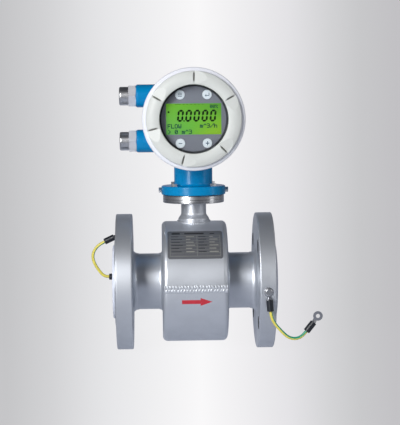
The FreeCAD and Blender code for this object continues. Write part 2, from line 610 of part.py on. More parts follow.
def electronics():
    pieces["main_board"] = box((MAIN_BOARD_W, BOARD_T, MAIN_BOARD_H),
                               (0, (MAIN_FRONT_Y + MAIN_BACK_Y) / 2, HEAD_Z))
    pieces["power_module"] = box((POWER_W, POWER_T, POWER_H),
                                 (POWER_X, MAIN_BACK_Y + POWER_T / 2, HEAD_Z + POWER_Z))
    posts = []
    for x in (-POST_X, POST_X):
        for z in (-POST_Z, POST_Z):
            for start, end in ((PANEL_BACK_Y, BOARD_FRONT_Y), (BOARD_BACK_Y, MAIN_FRONT_Y),
                               (MAIN_BACK_Y, PARTITION_Y)):
                posts.append(rod(POST_R, V(x, start, HEAD_Z + z), Y_AXIS, end - start))
    pieces["board_posts"] = Part.makeCompound(posts)
    rear_y = PARTITION_Y + PARTITION_T
    block = box((TERMINAL_PITCH * TERMINAL_COUNT + TERMINAL_END, TERMINAL_T, TERMINAL_H),
                (0, rear_y + TERMINAL_T / 2, HEAD_Z))
    screws = []
    for i in range(TERMINAL_COUNT):
        x = (i - (TERMINAL_COUNT - 1) / 2) * TERMINAL_PITCH
        centre = V(x, rear_y + TERMINAL_T, HEAD_Z - TERMINAL_SCREW_DROP)
        block = block.cut(rod(TERMINAL_POCKET_R, centre, -Y_AXIS, TERMINAL_POCKET_DEPTH))
        block = block.cut(box((TERMINAL_MOUTH_W, TERMINAL_MOUTH_D, TERMINAL_MOUTH_H),
                              (x, rear_y + TERMINAL_T - TERMINAL_POCKET_DEPTH - TERMINAL_SCREW_DROP,
                               HEAD_Z - TERMINAL_H / 2)))
        screws.append(ring(0, TERMINAL_SCREW_R, 0, TERMINAL_SCREW_T, Y_AXIS,
                           centre - Y_AXIS * TERMINAL_POCKET_DEPTH))
    pieces["terminal_block"] = block
    pieces["terminal_screws"] = Part.makeCompound(screws)


# ---- cable glands ------------------------------------------------------------
def glands():
    """Metal glands: a threaded hexagon body, a sealing insert and a cap nut."""
    hex_end = BOSS_END_X + GLAND_HEX_T
    collar_end = hex_end + GLAND_COLLAR_LENGTH
    nut_start = hex_end + FIT
    nut_end = nut_start + NUT_LENGTH
    inner_end = nut_end - NUT_END_T
    seal_r = SEAL_R - FIT / 3
    for name, centre in gland_centres().items():
        collar = ring(SEAL_R, GLAND_COLLAR_R, hex_end - 2, collar_end, -X_AXIS, centre)
        thread = ring(SEAL_R - 1, GLAND_THREAD_R, BOSS_END_X - GLAND_THREAD_LENGTH, BOSS_END_X,
                      -X_AXIS, centre)
        bar = hexagon(GLAND_HEX_AF, centre - X_AXIS * BOSS_END_X, -X_AXIS, GLAND_HEX_T)
        bar = bar.cut(rod(SEAL_R, centre - X_AXIS * (BOSS_END_X + 1), -X_AXIS, GLAND_HEX_T))
        bar = bar.cut(rod(SEAL_R - 1, centre - X_AXIS * BOSS_END_X, -X_AXIS, 2))
        pieces[name + "_gland_body"] = fused([thread, bar, collar])
        pieces[name + "_gland_nut"] = turned([
            (GLAND_COLLAR_R + 0.08, nut_start), (NUT_R, nut_start, 0.4), (NUT_R, nut_end, 2.2),
            (NUT_MOUTH_R, nut_end, 0.8), (NUT_MOUTH_R, inner_end),
            (GLAND_COLLAR_R + 0.08, inner_end)], -X_AXIS, centre)
        pieces[name + "_gland_seal"] = ring(CABLE_R, seal_r, BOSS_END_X + 1.3, inner_end - 0.2,
                                            -X_AXIS, centre, edge=0.4)


# ---- earth straps ------------------------------------------------------------
def cord_tube(points, radius):
    """Round tube along straight runs joined by tangent arcs, each as large as its runs allow."""
    edges, here = [], points[0]
    smallest = None
    for i in range(1, len(points) - 1):
        corner = points[i]
        back, ahead = points[i - 1] - corner, points[i + 1] - corner
        shorter = 0.45 * min(back.Length, ahead.Length)
        half = (math.pi - back.getAngle(ahead)) / 2
        arc_r = shorter / math.tan(half)
        smallest = min(arc_r, smallest or arc_r)
        start, end = corner + back.normalize() * shorter, corner + ahead.normalize() * shorter
        bisector = (back + ahead).normalize()
        middle = corner + bisector * (arc_r / math.cos(half) - arc_r)
        edges += [Part.LineSegment(here, start).toShape(), Part.Arc(start, middle, end).toShape()]
        here = end
    edges.append(Part.LineSegment(here, points[-1]).toShape())
    path = Part.Wire(edges)
    section = Part.Wire(Part.Circle(points[0], points[1] - points[0], radius).toShape())
    tube = path.makePipeShell([section], True, False)
    ratio = tube.Volume / (math.pi * radius ** 2 * path.Length)
    print("cord: length %.1f, smallest radius %.1f, volume ratio %.4f"
          % (path.Length, smallest, ratio))
    return tube


def lug_and_sleeve(wire_end, direction, rim):
    """Crimped ring lug and shrink sleeve on a wire's end.

    Drawn along +X from the wire's end, with the lug's ring towards -Y, then placed:
    direction points from the wire into the lug, and rim away from the flange.
    """
    low = -STRAP_STANDOFF - EARTH_SEAT_DEPTH
    high = low + LUG_T
    barrel_end = SLEEVE_LENGTH - SLEEVE_GRIP
    bend = LUG_REACH - LUG_R
    half_t = LUG_T * 0.8
    eye = ring(0, LUG_R, low, high, Y_AXIS, V(LUG_REACH, 0, 0))
    width = BARREL_END_R * 1.8
    crank = Part.Face(Part.makePolygon([V(x, y, -width / 2) for x, y in (
        (barrel_end - 1, half_t), (barrel_end + 0.4, half_t), (bend - 0.3, high),
        (bend + 1.5, high), (bend + 1.5, low), (bend - 0.7, low), (barrel_end, -half_t),
        (barrel_end - 1, -half_t), (barrel_end - 1, half_t))])).extrude(V(0, 0, width))
    barrel = rod(BARREL_END_R, ORIGIN, X_AXIS, barrel_end)
    lug = fused([barrel, crank, eye])
    lug = lug.cut(rod(LUG_HOLE_R, V(LUG_REACH, low - 1, 0), Y_AXIS, LUG_T + 2))
    sleeve = turned([
        (WIRE_R, -SLEEVE_GRIP), (SLEEVE_R, -SLEEVE_GRIP, 0.8), (SLEEVE_R, barrel_end, 0.8),
        (BARREL_END_R, barrel_end), (BARREL_END_R, 0), (WIRE_R, 0)], X_AXIS)
    side = direction.cross(rim)
    place = FreeCAD.Placement(FreeCAD.Matrix(
        direction.x, rim.x, side.x, wire_end.x, direction.y, rim.y, side.y, wire_end.y,
        direction.z, rim.z, side.z, wire_end.z, 0, 0, 0, 1))
    for shape in (lug, sleeve):
        shape.Placement = place.multiply(shape.Placement)
    return lug, sleeve


# Route of each wire from its fixed lug to its free lug, in the plane beside the
# flange rim: offsets (x, z) from the earth screw.
OUTLET_ROUTE = ((1.48, -18.94), (2.38, -30.5), (6.8, -40.6), (15.5, -50.6), (23.0, -57.9),
                (28.7, -60.8), (35.2, -61.4), (41.4, -59.3), (46.4, -55.0), (52.7, -47.2))
INLET_ROUTE = ((-19.0, 0.0), (-28.2, 0.0), (-34.0, 2.7), (-38.9, 8.6), (-43.6, 15.8),
               (-47.2, 23.4), (-48.1, 31.0), (-45.8, 37.9), (-41.2, 44.1), (-34.6, 48.7),
               (-25.2, 53.1))


def earth_straps():
    for name, side, route in (("outlet", 1, OUTLET_ROUTE), ("inlet", -1, INLET_ROUTE)):
        seat = earth_screw_seat(side)
        outward = Y_AXIS * -side
        plane_y = -side * (FLANGE_R + STRAP_STANDOFF)
        points = [V(seat.x + x, plane_y, seat.z + z) for x, z in route]
        pieces[name + "_strap_wire"] = cord_tube(points, WIRE_R)
        lugs, sleeves = [], []
        for end, towards in ((points[0], points[1]), (points[-1], points[-2])):
            direction = (end - towards).normalize()
            lug, sleeve = lug_and_sleeve(end, direction, outward)
            lugs.append(lug)
            sleeves.append(sleeve)
        pieces[name + "_strap_lugs"] = Part.makeCompound(lugs)
        pieces[name + "_strap_sleeves"] = Part.makeCompound(sleeves)
        top = seat + outward * LUG_T
        pieces[name + "_earth_screw"] = screw(top, outward, EARTH_SCREW_R, EARTH_SCREW_DEPTH - 2,
                                              EARTH_HEAD_R, EARTH_HEAD_H)


def build():
    measuring_section()
    neck()
    pieces["head_housing"] = head_housing()
    head_fasteners()
    front_cover()
    rear_cover()
    cover_seals()
    display()
    electronics()
    glands()
    earth_straps()
    os.makedirs("parts", exist_ok=True)
    for name, shape in pieces.items():
        if not shape.isValid():
            print("not valid:", name)
        shape.exportStep("parts/" + name + ".step")
    print(len(pieces), "pieces")


build()
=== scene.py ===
import math

import bpy
import numpy as np
from mathutils import Matrix, Vector


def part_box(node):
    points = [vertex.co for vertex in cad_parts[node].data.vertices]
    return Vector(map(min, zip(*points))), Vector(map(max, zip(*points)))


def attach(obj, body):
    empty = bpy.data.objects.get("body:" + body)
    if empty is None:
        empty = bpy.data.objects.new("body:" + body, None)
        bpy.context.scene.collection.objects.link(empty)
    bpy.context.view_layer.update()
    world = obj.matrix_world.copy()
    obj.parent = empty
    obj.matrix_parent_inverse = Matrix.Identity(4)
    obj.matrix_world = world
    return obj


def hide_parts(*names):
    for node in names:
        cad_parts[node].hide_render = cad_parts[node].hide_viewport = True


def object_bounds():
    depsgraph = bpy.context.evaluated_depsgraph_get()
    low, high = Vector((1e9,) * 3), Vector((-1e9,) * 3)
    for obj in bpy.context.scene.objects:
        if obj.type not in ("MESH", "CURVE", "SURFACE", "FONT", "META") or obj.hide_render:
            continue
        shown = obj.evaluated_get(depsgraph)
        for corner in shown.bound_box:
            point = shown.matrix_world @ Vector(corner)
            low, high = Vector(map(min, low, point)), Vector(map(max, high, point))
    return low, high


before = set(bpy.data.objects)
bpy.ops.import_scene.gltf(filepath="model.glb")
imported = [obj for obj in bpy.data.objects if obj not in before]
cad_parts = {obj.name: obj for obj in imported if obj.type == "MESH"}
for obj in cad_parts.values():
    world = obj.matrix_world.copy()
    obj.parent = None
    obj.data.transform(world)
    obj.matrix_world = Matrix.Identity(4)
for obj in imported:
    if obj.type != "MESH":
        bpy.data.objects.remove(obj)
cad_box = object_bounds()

bl_info = {
    "name": "Flow meter finish",
    "version": (1, 0, 0),
    "blender": (4, 5, 0),
    "location": "View3D > Sidebar > Flow Meter",
    "description": "Finishes, markings, welds, earth straps and studio for a flow meter with a display head",
    "category": "Object",
}

MM = 0.001
HEAD_Z = (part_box("window_glass")[0].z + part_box("window_glass")[1].z) / 2
DRUM_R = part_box("coil_housing")[1].z
PLATE_R = DRUM_R + 0.8 * MM
PLATE_FOOT = math.radians(27.5)
FLANGE_FROM = 80 * MM
BOLT_HOLE_R = 9 * MM
BOLT_OFFSET = 72.5 * MM * math.sqrt(0.5)
RIM_R = 62.6 * MM
PANEL_BORDER_R = 42.4 * MM
GRIP_MIDDLE_R, GRIP_HALF_LENGTH, GRIP_WALL = 55.5 * MM, 7.5 * MM, 2.4 * MM
GRIP_AXIS = math.radians(172)
GRIP_WALLS = [math.radians(a) for a in (22.5, 83.5, 143.0)]


def srgb(code):
    """A web colour such as 0a7fc0 as scene-linear red, green and blue."""
    value = np.array([int(code[i:i + 2], 16) for i in (0, 2, 4)]) / 255
    return tuple(np.where(value > 0.04045, ((value + 0.055) / 1.055) ** 2.4, value / 12.92))


def opaque(colour):
    """A colour with full alpha."""
    return (*colour, 1.0)


# ---- sizes and colours ----

def length(name, description, default):
    return bpy.props.FloatProperty(name=name, description=description, default=default,
                                   min=0.0, unit="LENGTH", subtype="DISTANCE", precision=5)


def tint(name, description, code):
    return bpy.props.FloatVectorProperty(name=name, description=description, size=3, min=0.0,
                                         max=1.0, subtype="COLOR", default=srgb(code))


class MeterSizes(bpy.types.PropertyGroup):
    arrow_length: length("Arrow length", "Length of the flow arrow along the pipe", 40 * MM)
    arrow_head: length("Arrow head height", "Height of the arrow's head", 11 * MM)
    arrow_head_length: length("Arrow head length", "Length of the arrow's head along the pipe", 15.5 * MM)
    arrow_shaft: length("Arrow shaft height", "Height of the arrow's shaft", 5.4 * MM)
    digit_height: length("Digit height", "Height of the large digits", 15.8 * MM)
    digit_width: length("Digit width", "Width of the large digits", 8.2 * MM)
    digit_stroke: length("Digit stroke", "Width of the large digits' bars", 2.6 * MM)
    digit_pitch: length("Digit pitch", "From one large digit to the next", 10.75 * MM)
    dot_size: length("Dot pitch", "Pitch of the small letters' dots", 0.78 * MM)
    bead_radius: length("Weld bead radius", "Radius of the weld bead at the neck foot", 1.5 * MM)
    wire_diameter: length("Wire diameter", "Outside diameter of the earth straps", 4.2 * MM)
    digit_slant: bpy.props.FloatProperty(name="Digit slant", description="Lean of the large digits",
                                         default=math.radians(7), subtype="ANGLE")


class MeterColours(bpy.types.PropertyGroup):
    body: tint("Body paint", "Satin paint of the measuring section", "d6dae1")
    head: tint("Head paint", "Gloss paint of the head casting", "0087c2")
    cover: tint("Cover paint", "Paint on the covers' domed rings", "d3d6d3")
    rim: tint("Cover rim", "Gloss outer rim of the covers", "e4e6ee")
    panel: tint("Display panel", "Front foil round the display", "70747f")
    backlight: tint("Backlight", "Middle colour of the lit display", "74bd2c")
    segments: tint("Segments", "Large digits of the display", "041204")
    small_text: tint("Small text", "Small rows of the display", "0d4548")
    arrow: tint("Arrow", "Flow arrow on the drum", "c5303e")
    sheath: tint("Strap sheath", "Main colour of the earth straps", "e6d862")
    stripe: tint("Strap stripe", "Stripe of the earth straps", "1f9a76")


def sizes():
    return bpy.context.scene.meter_sizes


def colours():
    return bpy.context.scene.meter_colours


# ---- surfaces ----

def grid_faces(rows, columns, wrap_rows=False, wrap_columns=False):
    """Quads of a grid of points numbered row by row. A wrapped direction joins its last line to its first."""
    i = np.arange(rows if wrap_rows else rows - 1)
    j = np.arange(columns if wrap_columns else columns - 1)
    i, j = np.meshgrid(i, j, indexing="ij")
    ni, nj = (i + 1) % rows, (j + 1) % columns
    quads = np.stack([i * columns + j, ni * columns + j, ni * columns + nj, i * columns + nj], -1)
    return quads.reshape(-1, 4)


def piece(name, points, faces, material, body, slot=None, smooth=False):
    """A mesh object from points and faces that rides on a body of the meter."""
    mesh = bpy.data.meshes.new(name)
    points = np.asarray(points, float).reshape(-1, 3)
    mesh.from_pydata(points.tolist(), [], [list(map(int, face)) for face in faces])
    mesh.materials.append(material)
    mesh.polygons.foreach_set("use_smooth", np.full(len(mesh.polygons), smooth))
    mesh.validate()
    mesh.update()
    made = bpy.data.objects.new(name, mesh)
    bpy.context.scene.collection.objects.link(made)
    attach(made, body)
    return made


def slab(front, back):
    """A closed thin shell: the front grid, the back grid turned over, and walls that join their borders."""
    rows, columns = front.shape[:2]
    points = np.concatenate([front.reshape(-1, 3), back.reshape(-1, 3)])
    face = grid_faces(rows, columns)
    number = np.arange(rows * columns).reshape(rows, columns)
    border = np.concatenate([number[:-1, 0], number[-1, :-1], number[:0:-1, -1], number[0, :0:-1]])
    after = np.roll(border, -1)
    under = rows * columns
    walls = np.stack([border, border + under, after + under, after], -1)
    return points, np.concatenate([face, face[:, ::-1] + under, walls])


def on_drum(x, angle, radius):
    """Points on the drum: x along the pipe, an angle up from the front, and a radius from the pipe's axis."""
    return np.stack([x, -radius * np.cos(angle), radius * np.sin(angle)], -1)


def drum_patch(x, angle, inner, outer):
    """A closed sheet on the drum between two radii."""
    return slab(on_drum(x, angle, outer), on_drum(x, angle, inner))


def joined(parts):
    """Several (points, faces) pairs as one, with the later faces renumbered."""
    points, faces, count = [], [], 0
    for p, f in parts:
        points.append(np.asarray(p).reshape(-1, 3))
        faces += [[int(k) + count for k in face] for face in f]
        count += len(points[-1])
    return np.concatenate(points), faces


def prisms(outlines, back, front):
    """Flat prisms that face -Y: each outline of (x, z) points is carried from y = back to y = front."""
    outlines = np.asarray(outlines, float)
    count, corners = outlines.shape[:2]
    x, z = outlines[..., 0], outlines[..., 1]
    points = np.stack([np.stack([x, np.full_like(x, y), z], -1) for y in (front, back)], 1)
    base = (np.arange(count) * 2 * corners)[:, None]
    around = np.arange(corners)
    ahead = base + around
    behind = ahead + corners
    ahead_next, behind_next = np.roll(ahead, -1, 1), np.roll(behind, -1, 1)
    walls = np.stack([ahead, behind, behind_next, ahead_next], -1).reshape(-1, 4)
    return points.reshape(-1, 3), [*ahead.tolist(), *behind[:, ::-1].tolist(), *walls.tolist()]


def disc_outline(x, z, radius, corners=24):
    """Points of a circle about (x, z): the cosine and sine of an even turn."""
    angle = np.linspace(0, 2 * np.pi, corners, endpoint=False)
    return np.stack([x + radius * np.cos(angle), z + radius * np.sin(angle)], -1)


# ---- shading ----

class Tree:
    """Short calls for adding nodes. An input's value is a number, a colour, a vector or a node's socket."""

    def __init__(self, tree):
        self.tree = tree

    def add(self, kind, inputs=None, **settings):
        node = self.tree.nodes.new(kind)
        for key, value in settings.items():
            setattr(node, key, value)
        for key, value in (inputs or {}).items():
            if isinstance(value, bpy.types.NodeSocket):
                self.tree.links.new(value, node.inputs[key])
            else:
                node.inputs[key].default_value = value
        return node

    def maths(self, operation, a, b=0.0, clamp=False):
        return self.add("ShaderNodeMath", {0: a, 1: b}, operation=operation, use_clamp=clamp).outputs[0]

    def plus(self, a, b, clamp=False):
        return self.maths("ADD", a, b, clamp)

    def minus(self, a, b):
        return self.maths("SUBTRACT", a, b)

    def times(self, a, b):
        return self.maths("MULTIPLY", a, b)

    def band(self, value, low, high, to_low=0.0, to_high=1.0, smooth=True):
        """value carried from low..high to to_low..to_high, and held outside."""
        return self.add("ShaderNodeMapRange", {"Value": value, "From Min": low, "From Max": high,
                                               "To Min": to_low, "To Max": to_high},
                        interpolation_type="SMOOTHSTEP" if smooth else "LINEAR").outputs[0]

    def mix(self, share, a, b, blend="MIX"):
        node = self.add("ShaderNodeMix", {0: share, 6: a, 7: b}, data_type="RGBA", blend_type=blend)
        return node.outputs[2]

    def split(self, vector):
        """The three coordinates of a vector."""
        return self.add("ShaderNodeSeparateXYZ", {0: vector}).outputs

    def reach(self, a, b):
        """How far the point (a, b) is from the middle of its plane."""
        flat = self.add("ShaderNodeCombineXYZ", {0: a, 1: b}).outputs[0]
        return self.add("ShaderNodeVectorMath", {0: flat}, operation="LENGTH").outputs["Value"]

    def noise(self, vector, scale, detail=3.0, rough=0.5):
        return self.add("ShaderNodeTexNoise", {"Vector": vector, "Scale": scale, "Detail": detail,
                                               "Roughness": rough}).outputs[0]

    def ramp(self, value, stops):
        node = self.add("ShaderNodeValToRGB", {0: value})
        while len(node.color_ramp.elements) < len(stops):
            node.color_ramp.elements.new(0.5)
        for element, (place, colour) in zip(node.color_ramp.elements, stops):
            element.position, element.color = place, opaque(colour)
        return node.outputs[0]

    def place(self, location=(0, 0, 0), rotation=(0, 0, 0)):
        """Object coordinates, turned and moved."""
        coordinates = self.add("ShaderNodeTexCoord").outputs["Object"]
        return self.add("ShaderNodeMapping", {"Vector": coordinates, "Location": location,
                                              "Rotation": rotation}).outputs[0]


def effect_group(name, inputs, outputs, build):
    """A shader node group with named sockets, built the first time it is asked for."""
    group = bpy.data.node_groups.get(name)
    if group is None:
        group = bpy.data.node_groups.new(name, "ShaderNodeTree")
        for socket, kind, default in inputs:
            made = group.interface.new_socket(name=socket, in_out="INPUT", socket_type=f"NodeSocket{kind}")
            if default is not None:
                made.default_value = default
        for socket, kind in outputs:
            group.interface.new_socket(name=socket, in_out="OUTPUT", socket_type=f"NodeSocket{kind}")
        tree = Tree(group)
        source, sink = tree.add("NodeGroupInput"), tree.add("NodeGroupOutput")
        for socket, value in build(tree, source.outputs).items():
            group.links.new(value, sink.inputs[socket])
    return group


def surface_character():
    """Slow patches that darken and dull a finish a little, and a fine grain for its relief."""
    def build(t, given):
        patch = t.band(t.noise(given["Vector"], given["Patch Scale"], 4.0, 0.6), 0.3, 0.7)
        grain = t.noise(given["Vector"], given["Grain Scale"], 2.0)
        darker = t.minus(1.0, t.times(patch, given["Shade"]))
        colour = t.add("ShaderNodeHueSaturation", {"Value": darker, "Color": given["Colour"]}).outputs[0]
        swing = t.times(t.minus(patch, 0.5), given["Spread"])
        rough = t.plus(given["Roughness"], swing, clamp=True)
        height = t.plus(grain, t.times(patch, given["Waviness"]))
        return {"Colour": colour, "Roughness": rough, "Height": height}
    return effect_group("Surface character", [
        ("Vector", "Vector", None), ("Colour", "Color", (0.5, 0.5, 0.5, 1)), ("Shade", "Float", 0.1),
        ("Roughness", "Float", 0.4), ("Spread", "Float", 0.1), ("Patch Scale", "Float", 20.0),
        ("Grain Scale", "Float", 900.0), ("Waviness", "Float", 0.0)],
        [("Colour", "Color"), ("Roughness", "Float"), ("Height", "Float")], build)


def turned_lines():
    """Fine lathe lines: noise read by the distance from the Z axis and the height along it, so that they run
    round."""
    def build(t, given):
        x, y, z = t.split(given["Vector"])
        where = t.add("ShaderNodeCombineXYZ", {0: t.reach(x, y), 2: z}).outputs[0]
        return {"Lines": t.noise(where, given["Scale"], 5.0, 0.65)}
    return effect_group("Turned lines", [("Vector", "Vector", None), ("Scale", "Float", 1500.0)],
                        [("Lines", "Float")], build)


def new_material(name):
    """An empty material and its tree. Its name sets it apart from the frame's own material of that name."""
    material = bpy.data.materials.new(f"{name}_finish")
    material.use_nodes = True
    material.node_tree.nodes.clear()
    return material, Tree(material.node_tree)


def output(t, shader):
    t.add("ShaderNodeOutputMaterial", {"Surface": shader})


def finish(name, colour, metallic=0.0, rough=0.4, spread=0.1, shade=0.08, patch=25.0, grain=900.0,
           relief=0.1, depth=0.05 * MM, wavy=0.0, coat=0.0, coat_rough=0.1, specular=0.5,
           lines=None, recolour=None):
    """A painted, moulded or plated finish. Slow patches change its roughness by spread and darken its colour
    by shade. patch and grain are the scales of the patches and the fine grain, and relief and depth are the
    bump's strength and distance. lines = (rotation, scale) adds lathe lines about an axis, and recolour is a
    function that works out the colour from the place."""
    material, t = new_material(name)
    vector = t.place()
    colour = opaque(colour)
    if recolour:
        colour = recolour(t, vector, colour)
    skin = t.add("ShaderNodeGroup", {
        "Vector": vector, "Colour": colour, "Shade": shade, "Roughness": rough, "Spread": spread,
        "Patch Scale": patch, "Grain Scale": grain, "Waviness": wavy}, node_tree=surface_character())
    height, roughness = skin.outputs["Height"], skin.outputs["Roughness"]
    if lines:
        rotation, scale = lines
        turned = t.add("ShaderNodeGroup", {"Vector": t.place(rotation=rotation), "Scale": scale},
                       node_tree=turned_lines())
        height = turned.outputs["Lines"]
        roughness = t.plus(roughness, t.band(height, 0.35, 0.65, -0.05, 0.08), clamp=True)
    bump = t.add("ShaderNodeBump", {"Strength": relief, "Distance": depth, "Height": height})
    shader = t.add("ShaderNodeBsdfPrincipled", {
        "Base Color": skin.outputs["Colour"], "Metallic": metallic, "Roughness": roughness,
        "Specular IOR Level": specular, "Coat Weight": coat, "Coat Roughness": coat_rough,
        "Normal": bump.outputs[0]})
    output(t, shader.outputs[0])
    return material


def from_head_axis(t, vector):
    """Distance from the head's front-to-back axis."""
    x, y, z = t.split(vector)
    return t.reach(x, t.minus(z, HEAD_Z))


def cover_colour_and_grip_shade(t, vector, ring):
    """The cover's outer rim is paler than its domed ring, and the steep wall of each finger grip gets a dark
    band of painted shade. The grips are mirrored about one axis, so the angle from it is taken without its
    sign, and a wall is found by the distance r * sin(angle - wall) from its line."""
    x, y, z = t.split(vector)
    far = from_head_axis(t, vector)
    share = t.band(far, RIM_R, RIM_R + 1 * MM)
    colour = t.mix(share, ring, opaque(colours().rim))
    front = t.times(t.maths("SIGN", y), -1.0)
    x, z = t.times(x, front), t.minus(z, HEAD_Z)
    c, s = math.cos(GRIP_AXIS), math.sin(GRIP_AXIS)
    along = t.plus(t.times(x, c), t.times(z, s))
    beside = t.minus(t.times(z, c), t.times(x, s))
    angle = t.maths("ARCTAN2", t.maths("ABSOLUTE", beside), along)
    off_middle = t.maths("ABSOLUTE", t.minus(far, GRIP_MIDDLE_R))
    ends = t.band(off_middle, GRIP_HALF_LENGTH, GRIP_HALF_LENGTH - 4 * MM)
    # Painted shade: a band beside each grip's steep wall is darkened towards 4c4a44, where the grip's shadow
    # falls.
    for wall in GRIP_WALLS:
        off = t.times(far, t.maths("SINE", t.minus(angle, wall)))
        line = t.times(t.band(off, 0.4 * MM, 0.0), t.band(off, -GRIP_WALL, -GRIP_WALL + 0.9 * MM))
        share = t.times(t.times(line, ends), 0.85)
        colour = t.mix(share, colour, opaque(srgb("4c4a44")))
    return colour


def bolt_hole_shade(t, vector, paint):
    """Painted shade: the inside of the flanges' bolt holes is darkened."""
    x, y, z = t.split(vector)
    near = t.reach(*(t.minus(t.maths("ABSOLUTE", way), BOLT_OFFSET) for way in (y, z)))
    flange = t.band(t.maths("ABSOLUTE", x), FLANGE_FROM, FLANGE_FROM + 1 * MM)
    inside = t.times(t.band(near, BOLT_HOLE_R + 0.3 * MM, BOLT_HOLE_R), flange)
    # Painted shade inside the bolt holes.
    return t.mix(inside, paint, opaque(srgb("2e3034")))


def panel_colour(t, vector, foil):
    """A black border round the foil."""
    border = t.band(from_head_axis(t, vector), PANEL_BORDER_R, PANEL_BORDER_R + 0.8 * MM)
    return t.mix(border, foil, opaque(srgb("14181f")))


def winding_colour_and_groove_shade(t, vector, copper):
    """Bands of light and dark where the turns of the winding lie on each other: painted shade in the grooves
    between the turns.
    """
    x, y, z = t.split(vector)
    wire = 0.7 * MM
    wave = t.maths("SINE", t.times(z, 2 * math.pi / wire))
    # Painted shade: the copper is darkened for the grooves between the turns.
    dark = t.mix(1.0, copper, (0.45, 0.4, 0.38, 1), "MULTIPLY")
    return t.mix(t.band(wave, -1.0, 0.4), dark, copper)


def board_colour(t, vector, resist):
    """Pale tracks and pads under the green resist."""
    bricks = t.add("ShaderNodeTexBrick", {"Vector": t.place(rotation=(math.pi / 2, 0, 0)),
                                          "Color1": resist, "Color2": t.mix(0.5, resist, (0.09, 0.4, 0.2, 1)),
                                          "Mortar": (0.16, 0.5, 0.26, 1), "Scale": 180.0,
                                          "Mortar Size": 0.05})
    return bricks.outputs[0]


def glass_material():
    """Clear window that lets the lamps through to the display behind it."""
    material, t = new_material("window_glass")
    smear = t.band(t.noise(t.place(), 30.0, 4.0), 0.4, 0.8, 0.0, 0.03)
    glass = t.add("ShaderNodeBsdfPrincipled", {"Base Color": (0.97, 0.985, 0.98, 1), "Roughness": smear,
                                               "IOR": 1.45, "Transmission Weight": 1.0})
    clear = t.add("ShaderNodeBsdfTransparent")
    path = t.add("ShaderNodeLightPath")
    either = t.maths("MAXIMUM", path.outputs["Is Shadow Ray"], path.outputs["Is Diffuse Ray"])
    output(t, t.add("ShaderNodeMixShader", {0: either, 1: glass.outputs[0], 2: clear.outputs[0]}).outputs[0])
    return material


def display_material():
    """A lit display: bluer at the lower left, yellower at the lower right, dimmer at the upper right, with a
    fine grid of dots."""
    material, t = new_material("lcd_green")
    lo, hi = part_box("lcd_module")
    middle = Vector(((lo.x + hi.x) / 2, 0, (lo.z + hi.z) / 2))
    half_width, half_height, dot_pitch = 36 * MM, 20 * MM, 0.78 * MM
    vector = t.place(location=-middle)
    x, y, z = t.split(vector)
    across = t.band(x, -half_width, half_width, smooth=False)
    down = t.band(z, half_height, -half_height, smooth=False)
    colour = opaque(colours().backlight)
    lower_left = t.times(down, t.minus(1.0, across))
    colour = t.mix(lower_left, colour, opaque(srgb("62b457")))
    lower_right = t.band(t.times(across, down), 0.25, 0.95)
    colour = t.mix(lower_right, colour, opaque(srgb("8fc02a")))
    lights = t.noise(vector, 40.0, 2.0)
    colour = t.mix(t.band(lights, 0.35, 0.75, 0.0, 0.12), colour, opaque(srgb("9ccc55")))
    upper_right = t.times(across, t.band(down, 0.6, 0.0))
    colour = t.mix(t.times(upper_right, 0.45), colour, opaque(srgb("2f7f36")))
    grid = [t.maths("PINGPONG", axis, dot_pitch / 2) for axis in (x, z)]
    dot = t.band(t.maths("MINIMUM", grid[0], grid[1]), 0.0, 0.06 * MM)
    between = t.times(t.minus(1.0, dot), 0.08)
    colour = t.mix(between, colour, opaque(srgb("3f7a20")))
    skin = t.mix(1.0, colour, (0.45, 0.5, 0.4, 1), "MULTIPLY")
    shader = t.add("ShaderNodeBsdfPrincipled", {
        "Base Color": skin, "Roughness": 0.45, "Specular IOR Level": 0.2,
        "Emission Color": colour, "Emission Strength": 0.42})
    output(t, shader.outputs[0])
    return material


def strap_material():
    """A yellow sheath whose green stripe covers a third of the way round. The UV map turns the stripe."""
    material, t = new_material("wire_sheath")
    turn = t.split(t.add("ShaderNodeUVMap", uv_map="sheath").outputs[0])[1]
    edge = t.maths("ABSOLUTE", t.minus(t.maths("FRACT", turn), 0.5))
    green = t.band(edge, 0.17, 0.15)
    colour = t.mix(green, opaque(colours().sheath), opaque(colours().stripe))
    marks = t.noise(t.place(), 300.0, 3.0)
    colour = t.mix(t.band(marks, 0.45, 0.8, 0.0, 0.25), colour, opaque(srgb("9a9460")))
    bump = t.add("ShaderNodeBump", {"Strength": 0.2, "Distance": 0.1 * MM,
                                    "Height": t.noise(t.place(), 500.0)})
    shader = t.add("ShaderNodeBsdfPrincipled", {"Base Color": colour, "Normal": bump.outputs[0],
                                                "Roughness": t.band(marks, 0.3, 0.7, 0.3, 0.45)})
    output(t, shader.outputs[0])
    return material


